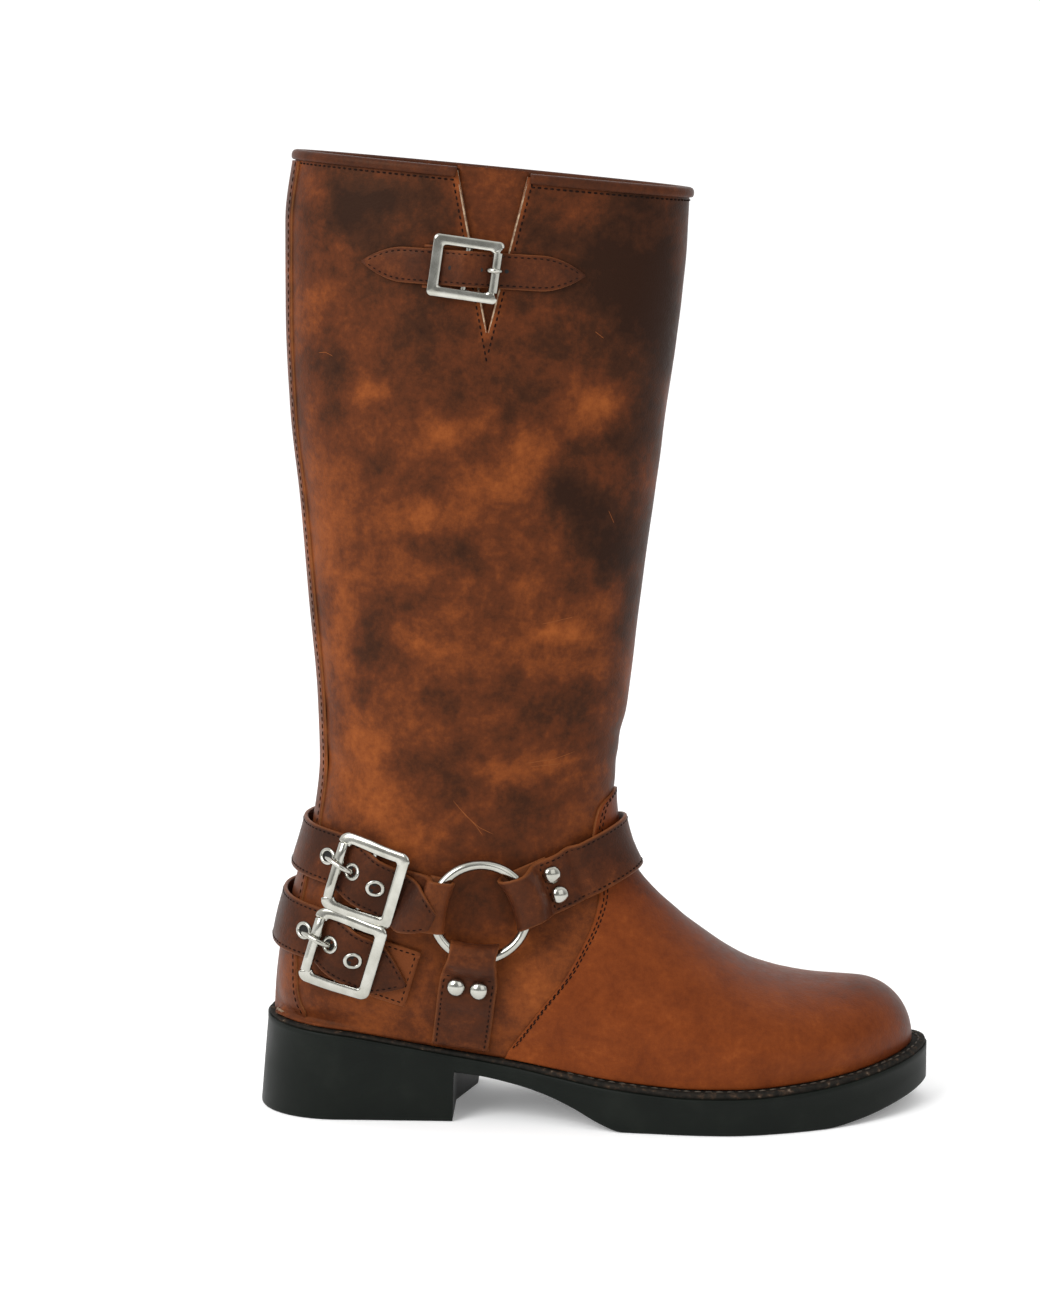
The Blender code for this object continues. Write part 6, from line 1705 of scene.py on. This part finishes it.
for label, path, middle in (("upper", upper_path, upper_middle), ("lower", lower_path, lower_middle)):
    for number, u in enumerate(HEEL_HOLES, 1):
        rows = []
        for turn in np.linspace(0.0, 2 * math.pi, 41):
            row = []
            for out, up in EYELET_SECTION:
                radius = EYELET_HOLE + (EYELET_RADIUS - EYELET_HOLE) * out
                along = u + radius * math.cos(turn)
                height = billet_height(along) + STRAP_THICK / 2 + 0.3
                row.append(path.place(middle + along, radius * math.sin(turn), height + up * 0.8))
            rows.append(row)
        piece = sheet("boot_eyelet_%s_%d" % (label, number), rows, closed=True)
        fasten(piece, "nickel", nickel, "eyelet_%s_%d" % (label, number))
        # A near-black disc over the hole: painted shade.
        rows = []
        for radius in (0.0, EYELET_HOLE + 0.1):
            row = []
            for turn in np.linspace(0.0, 2 * math.pi, 25):
                along = u + radius * math.cos(turn)
                height = billet_height(along) + STRAP_THICK * STRAP_CROWN + HOLE_CLEAR
                row.append(path.place(middle + along, radius * math.sin(turn), height))
            rows.append(row)
        piece = sheet("boot_hole_%s_%d" % (label, number), rows)
        fasten(piece, "strap_brown", dark)

# Buckles: a cast, nickel-plated frame with a centre bar, a rolled sleeve that turns on one end bar,
# and a wire prong that hangs on the centre bar and rests on the sleeve.
HEEL_BUCKLE = {
    "long": 28.6, "wide": 33.2, "bar": 4.5, "deep": 2.4, "round": 3.6, "inner": 1.1, "tilt": 14.0,
    "height": 4.6, "arch": 1.7, "centre": 3.5,
}
HEEL_PRONG = {
    "u": (2.6, 5.0, 6.4, 6.6, 8.4, 12.4, 15.2, 17.0),
    "h": (1.9, 1.9, 3.4, 6.4, 8.7, 9.5, 9.0, 8.2),
}
CENTRE_BAR = 1.1
ROLLER_RADIUS = 1.9
ROLLER_CORE = 1.0
PRONG_RADIUS = 1.05
# Section of a frame from its opening out: share of the bar's width, share of half its depth.
FRAME_SECTION = (
    (0.0, -0.5), (0.0, 0.5), (0.06, 0.82), (0.2, 1.0), (0.8, 0.86), (0.94, 0.66), (1.0, 0.35), (1.0, -0.5),
    (0.85, -1.0), (0.15, -1.0),
)
# Roller along its bar: share of its half length, share of its radius.
ROLLER_LINE = (
    (-1.0, 0.55), (-1.0, 0.94), (-0.985, 1.0), (-0.5, 1.0), (0.0, 1.0), (0.5, 1.0), (0.985, 1.0), (1.0, 0.94),
    (1.0, 0.55),
)


def buckle(name, path, middle, sizes, prong_rows, way):
    """Frame with a centre bar, roller and prong as three pieces; way is the end that the prong rests on."""
    half_long = sizes["long"] / 2
    half_wide = sizes["wide"] / 2
    tilt = math.radians(sizes["tilt"])
    aside = at_length(path.across, path.length, middle)

    def spot(u, d, height):
        base, normal = path.frame(middle + u * math.cos(tilt) - d * math.sin(tilt), 0.0, 0.0)
        return base + aside * (u * math.sin(tilt) + d * math.cos(tilt)) + normal * height

    corners = []
    for number, (u_sign, d_sign) in enumerate(((1, 1), (-1, 1), (-1, -1), (1, -1))):
        for part_turn in np.linspace(0.0, 90.0, 9):
            angle = math.radians(number * 90.0 + part_turn)
            for inset, corner in ((0.0, sizes["round"]), (sizes["bar"], sizes["inner"])):
                corners.append((
                    u_sign * (half_long - inset - corner) + corner * math.cos(angle),
                    d_sign * (half_wide - inset - corner) + corner * math.sin(angle),
                ))
    corners = np.array(corners).reshape(4, 9, 2, 2)
    loop = []
    for number in range(4):
        loop += [(one, False) for one in corners[number]]
        start = corners[number][-1]
        move = corners[(number + 1) % 4][0] - start
        loop += [(start + move * share, number == 2 + way) for share in np.linspace(0.04, 0.96, 7)]
    loop.append(loop[0])
    rows = []
    for (outer, inner), core in loop:
        deep = sizes["deep"] / 2
        if core:
            middle_place = (outer + inner) / 2
            outward = (outer - inner) / np.linalg.norm(outer - inner) * ROLLER_CORE
            outer = middle_place + outward
            inner = middle_place - outward
            deep = ROLLER_CORE
        row = []
        for out, up in FRAME_SECTION:
            u, d = inner + (outer - inner) * out
            lift = sizes["height"] + sizes["arch"] * (u / half_long) ** 2
            row.append(spot(u, d, lift + up * deep))
        rows.append(row)
    outline = sheet(name + "_outline", rows, closed=True)
    rows = []
    for d in np.linspace(-1.0, 1.0, 13) * (half_wide - sizes["bar"] / 2):
        row = []
        for turn in np.linspace(0.0, 2 * math.pi, 12, endpoint=False):
            row.append(spot(CENTRE_BAR * math.cos(turn), d, sizes["centre"] + CENTRE_BAR * math.sin(turn)))
        rows.append(row)
    bar_piece = sheet(name + "_bar", capped(rows), closed=True)
    bpy.ops.object.select_all(action="DESELECT")
    bar_piece.select_set(True)
    outline.select_set(True)
    bpy.context.view_layer.objects.active = outline
    bpy.ops.object.join()
    outline.name = "boot_" + name + "_frame"
    bpy.ops.object.shade_smooth_by_angle(angle=math.radians(35))
    fasten(outline, "nickel", nickel, name + "_frame")
    rows = []
    reach = half_wide - max(sizes["round"], sizes["bar"]) - 0.3
    end_u = way * (half_long - sizes["bar"] / 2)
    for d, size in ROLLER_LINE:
        row = []
        for turn in np.linspace(0.0, 2 * math.pi, 28, endpoint=False):
            row.append(spot(
                end_u + ROLLER_RADIUS * size * math.cos(turn), d * reach,
                sizes["height"] + sizes["arch"] + ROLLER_RADIUS * size * math.sin(turn),
            ))
        rows.append(row)
    roller = sheet("boot_" + name + "_roller", capped(rows), closed=True)
    bpy.ops.object.shade_smooth_by_angle(angle=math.radians(40))
    fasten(roller, "nickel", nickel, name + "_roller")
    prong_line = fine_line(np.stack((prong_rows["u"], prong_rows["h"]), axis=1), 0.6)
    tangent = np.gradient(prong_line, axis=0)
    tangent /= np.linalg.norm(tangent, axis=1, keepdims=True)
    rows = []
    for k, ((u, h), (t_u, t_h)) in enumerate(zip(prong_line, tangent)):
        left = (len(prong_line) - 1 - k) / 4.0
        size = PRONG_RADIUS * min(1.0, 0.55 + 0.45 * left)
        row = []
        for turn in np.linspace(0.0, 2 * math.pi, 14, endpoint=False):
            rise = size * math.sin(turn)
            row.append(path.place(middle + way * (u - t_h * rise), size * math.cos(turn), h + t_u * rise))
        rows.append(row)
    prong = sheet("boot_" + name + "_prong", capped(rows), closed=True)
    fasten(prong, "nickel", nickel, name + "_prong")


buckle("buckle_heel_upper", upper_path, upper_middle, HEEL_BUCKLE, HEEL_PRONG, 1)
buckle("buckle_heel_lower", lower_path, lower_middle, HEEL_BUCKLE, HEEL_PRONG, 1)

# Top strap: a narrow strap across the V cut with two pointed ends and sewn edges.
# It runs through a small roller buckle that hangs on a sewn leather tab.
TOP_STRAP_WIDE = 14.0
TOP_STRAP_THICK = 1.5
TOP_STRAP_RIGHT = (135.6, 347.2)
TOP_STRAP_LEFT = (47.8, 352.7)
TOP_BUCKLE_AT = (88.8, 350.1)
TOP_TAB_WIDE = 17.0
TOP_TAB_THICK = 1.2
TOP_TIP = 18.0
TOP_HOLES = (83.2, 94.7, 104.7)
TOP_HOLE_RADIUS = 0.8
TOP_BUCKLE = {
    "long": 27.0, "wide": 24.4, "bar": 4.0, "deep": 2.0, "round": 1.9, "inner": 0.8, "tilt": -4.5,
    "height": 3.9, "arch": 1.2, "centre": 3.0,
}
TOP_BUCKLE_STRAP = {
    "u": (-24.0, -18.5, -11.3, -5.5, 0.0, 5.5, 11.3, 20.0),
    "h": (1.5, 2.5, 2.45, 3.6, 5.4, 3.6, 1.7, 1.1),
}
TOP_PRONG = {
    "u": (2.6, 5.5, 7.8, 8.6, 9.3, 11.2, 13.2, 13.9),
    "h": (1.6, 1.6, 2.4, 4.8, 7.1, 8.2, 7.8, 7.2),
}
top_path = side_path(TOP_STRAP_RIGHT, TOP_STRAP_LEFT, -1, 90)
top_middle = top_path.nearest_length(*TOP_BUCKLE_AT)
top_rest = GAP + TOP_STRAP_THICK / 2
top_rows = [(along, top_rest) for along in (0.2, 4.0, 9.0, top_middle - 30.0)]
top_rows += [(top_middle - u, h) for u, h in zip(TOP_BUCKLE_STRAP["u"], TOP_BUCKLE_STRAP["h"])]
top_rows = sorted(top_rows)
top_rows += [(top_path.total - left, top_rest) for left in (10.0, 4.5, 0.2)]


def top_width(along):
    share = min(1.0, max(0.0, min(along, top_path.total - along) / TOP_TIP))
    return TOP_STRAP_WIDE / 2 * (0.04 + 0.96 * math.sin(share * math.pi / 2) ** 0.9)


strap("strap_top", top_path, top_rows, top_width, TOP_STRAP_THICK, tone=0.1)
top_tab_rows = []
for along in np.linspace(top_middle - 0.3, top_middle + 17.0, 5):
    top_tab_rows.append((along, GAP + TOP_TAB_THICK / 2))
strap("anchor_tab_top", top_path, top_tab_rows, TOP_TAB_WIDE / 2, TOP_TAB_THICK, tone=0.5)
top_seams = []
for side in (-1, 1):
    top_seams.append(strap_seam(
        top_path, top_rows, top_width, 1.4, 2.5, top_path.total - 2.5, side, TOP_STRAP_THICK
    ))
sew("boot_top_strap_stitches", top_seams, "strap_brown", thread, 1.6, 0.3)
heights = top_heights(top_rows)
# The top strap's holes are near-black discs on the strap: painted shade inside each hole.
for number, x_here in enumerate(TOP_HOLES, 1):
    along = top_path.nearest_length(x_here, TOP_BUCKLE_AT[1])
    height = float(np.interp(along, heights[:, 0], heights[:, 1]))
    height = height + TOP_STRAP_THICK * STRAP_CROWN + HOLE_CLEAR
    rows = []
    for radius in (0.0, TOP_HOLE_RADIUS):
        row = []
        for turn in np.linspace(0.0, 2 * math.pi, 17):
            row.append(top_path.place(along + radius * math.cos(turn), radius * math.sin(turn), height))
        rows.append(row)
    piece = sheet("boot_hole_top_%d" % number, rows)
    fasten(piece, "strap_brown", dark)
buckle("buckle_top", top_path, top_middle, TOP_BUCKLE, TOP_PRONG, -1)

# Studio: a wide white floor under a white sky, as for a picture in a catalogue.
# Two large soft lights stand on the camera's side, the stronger one towards the heel.
bpy.ops.object.select_all(action="DESELECT")
bpy.ops.mesh.primitive_plane_add(size=12.0, location=(0.0, 0.0, 0.0))
floor = bpy.context.object
floor.name = "floor"
floor_finish = new_material("floor_white", {
    "Base Color": (0.94, 0.94, 0.94, 1.0),
    "Roughness": 0.9,
    "Emission Color": (1.0, 1.0, 1.0, 1.0),
    "Emission Strength": 0.16,
})[0]
floor.data.materials.append(floor_finish)
world = bpy.data.worlds.new("studio")
bpy.context.scene.world = world
world.use_nodes = True
sky = next(one for one in world.node_tree.nodes if one.type == "BACKGROUND")
sky.inputs["Color"].default_value = (1.0, 1.0, 1.0, 1.0)
# The sky is white behind and above the boot and dimmer on the camera's side, as in a studio.
facing = node(world.node_tree, "ShaderNodeTexCoord").outputs["Generated"]
facing = node(
    world.node_tree, "ShaderNodeVectorMath", {0: facing, 1: (-0.3, 0.8, 0.55)}, operation="DOT_PRODUCT"
).outputs["Value"]
power = node(
    world.node_tree, "ShaderNodeMapRange",
    {"Value": facing, "From Min": -0.5, "From Max": 0.3, "To Min": 0.35, "To Max": 1.12},
).outputs["Result"]
world.node_tree.links.new(power, sky.inputs["Strength"])


def soft_light(name, place, aim, wide, power):
    """A square area light that faces a place."""
    bpy.ops.object.light_add(type="AREA", location=place)
    lamp = bpy.context.object
    lamp.name = name
    lamp.data.shape = "SQUARE"
    lamp.data.size = wide
    lamp.data.energy = power
    lamp.rotation_euler = (Vector(aim) - Vector(place)).to_track_quat("-Z", "Y").to_euler()


soft_light("key", (-1.2, -1.4, 1.4), (0.0, 0.0, 0.2), 1.2, 32.0)
soft_light("fill", (0.9, -1.3, 0.9), (0.0, 0.0, 0.2), 1.2, 5.0)

# Camera: it stands on the boot's outer side at the photo's angle, with a long lens.
# It is a little higher than the collar, looks down by 9 degrees and is turned slightly to the heel.
CAMERA_FAR = 1391.0
CAMERA_HIGH = 412.0
CAMERA_AIM = 108.8
CAMERA_DOWN = math.radians(9.0)
CAMERA_TURN = math.radians(2.0)
CAMERA_SENSOR = 36.0
CAMERA_LENS = CAMERA_SENSOR * 3412.0 / 1300.0
bpy.ops.object.camera_add()
camera = bpy.context.object
spot = (CAMERA_AIM + CAMERA_FAR * math.sin(CAMERA_TURN), -CAMERA_FAR * math.cos(CAMERA_TURN), CAMERA_HIGH)
camera.location = tuple(to_world(spot))
camera.rotation_euler = (math.pi / 2 - CAMERA_DOWN, 0.0, CAMERA_TURN)
camera.data.lens = CAMERA_LENS
camera.data.sensor_width = CAMERA_SENSOR
camera.data.clip_end = 60.0
bpy.context.scene.camera = camera
bpy.context.scene.view_settings.view_transform = "Standard"
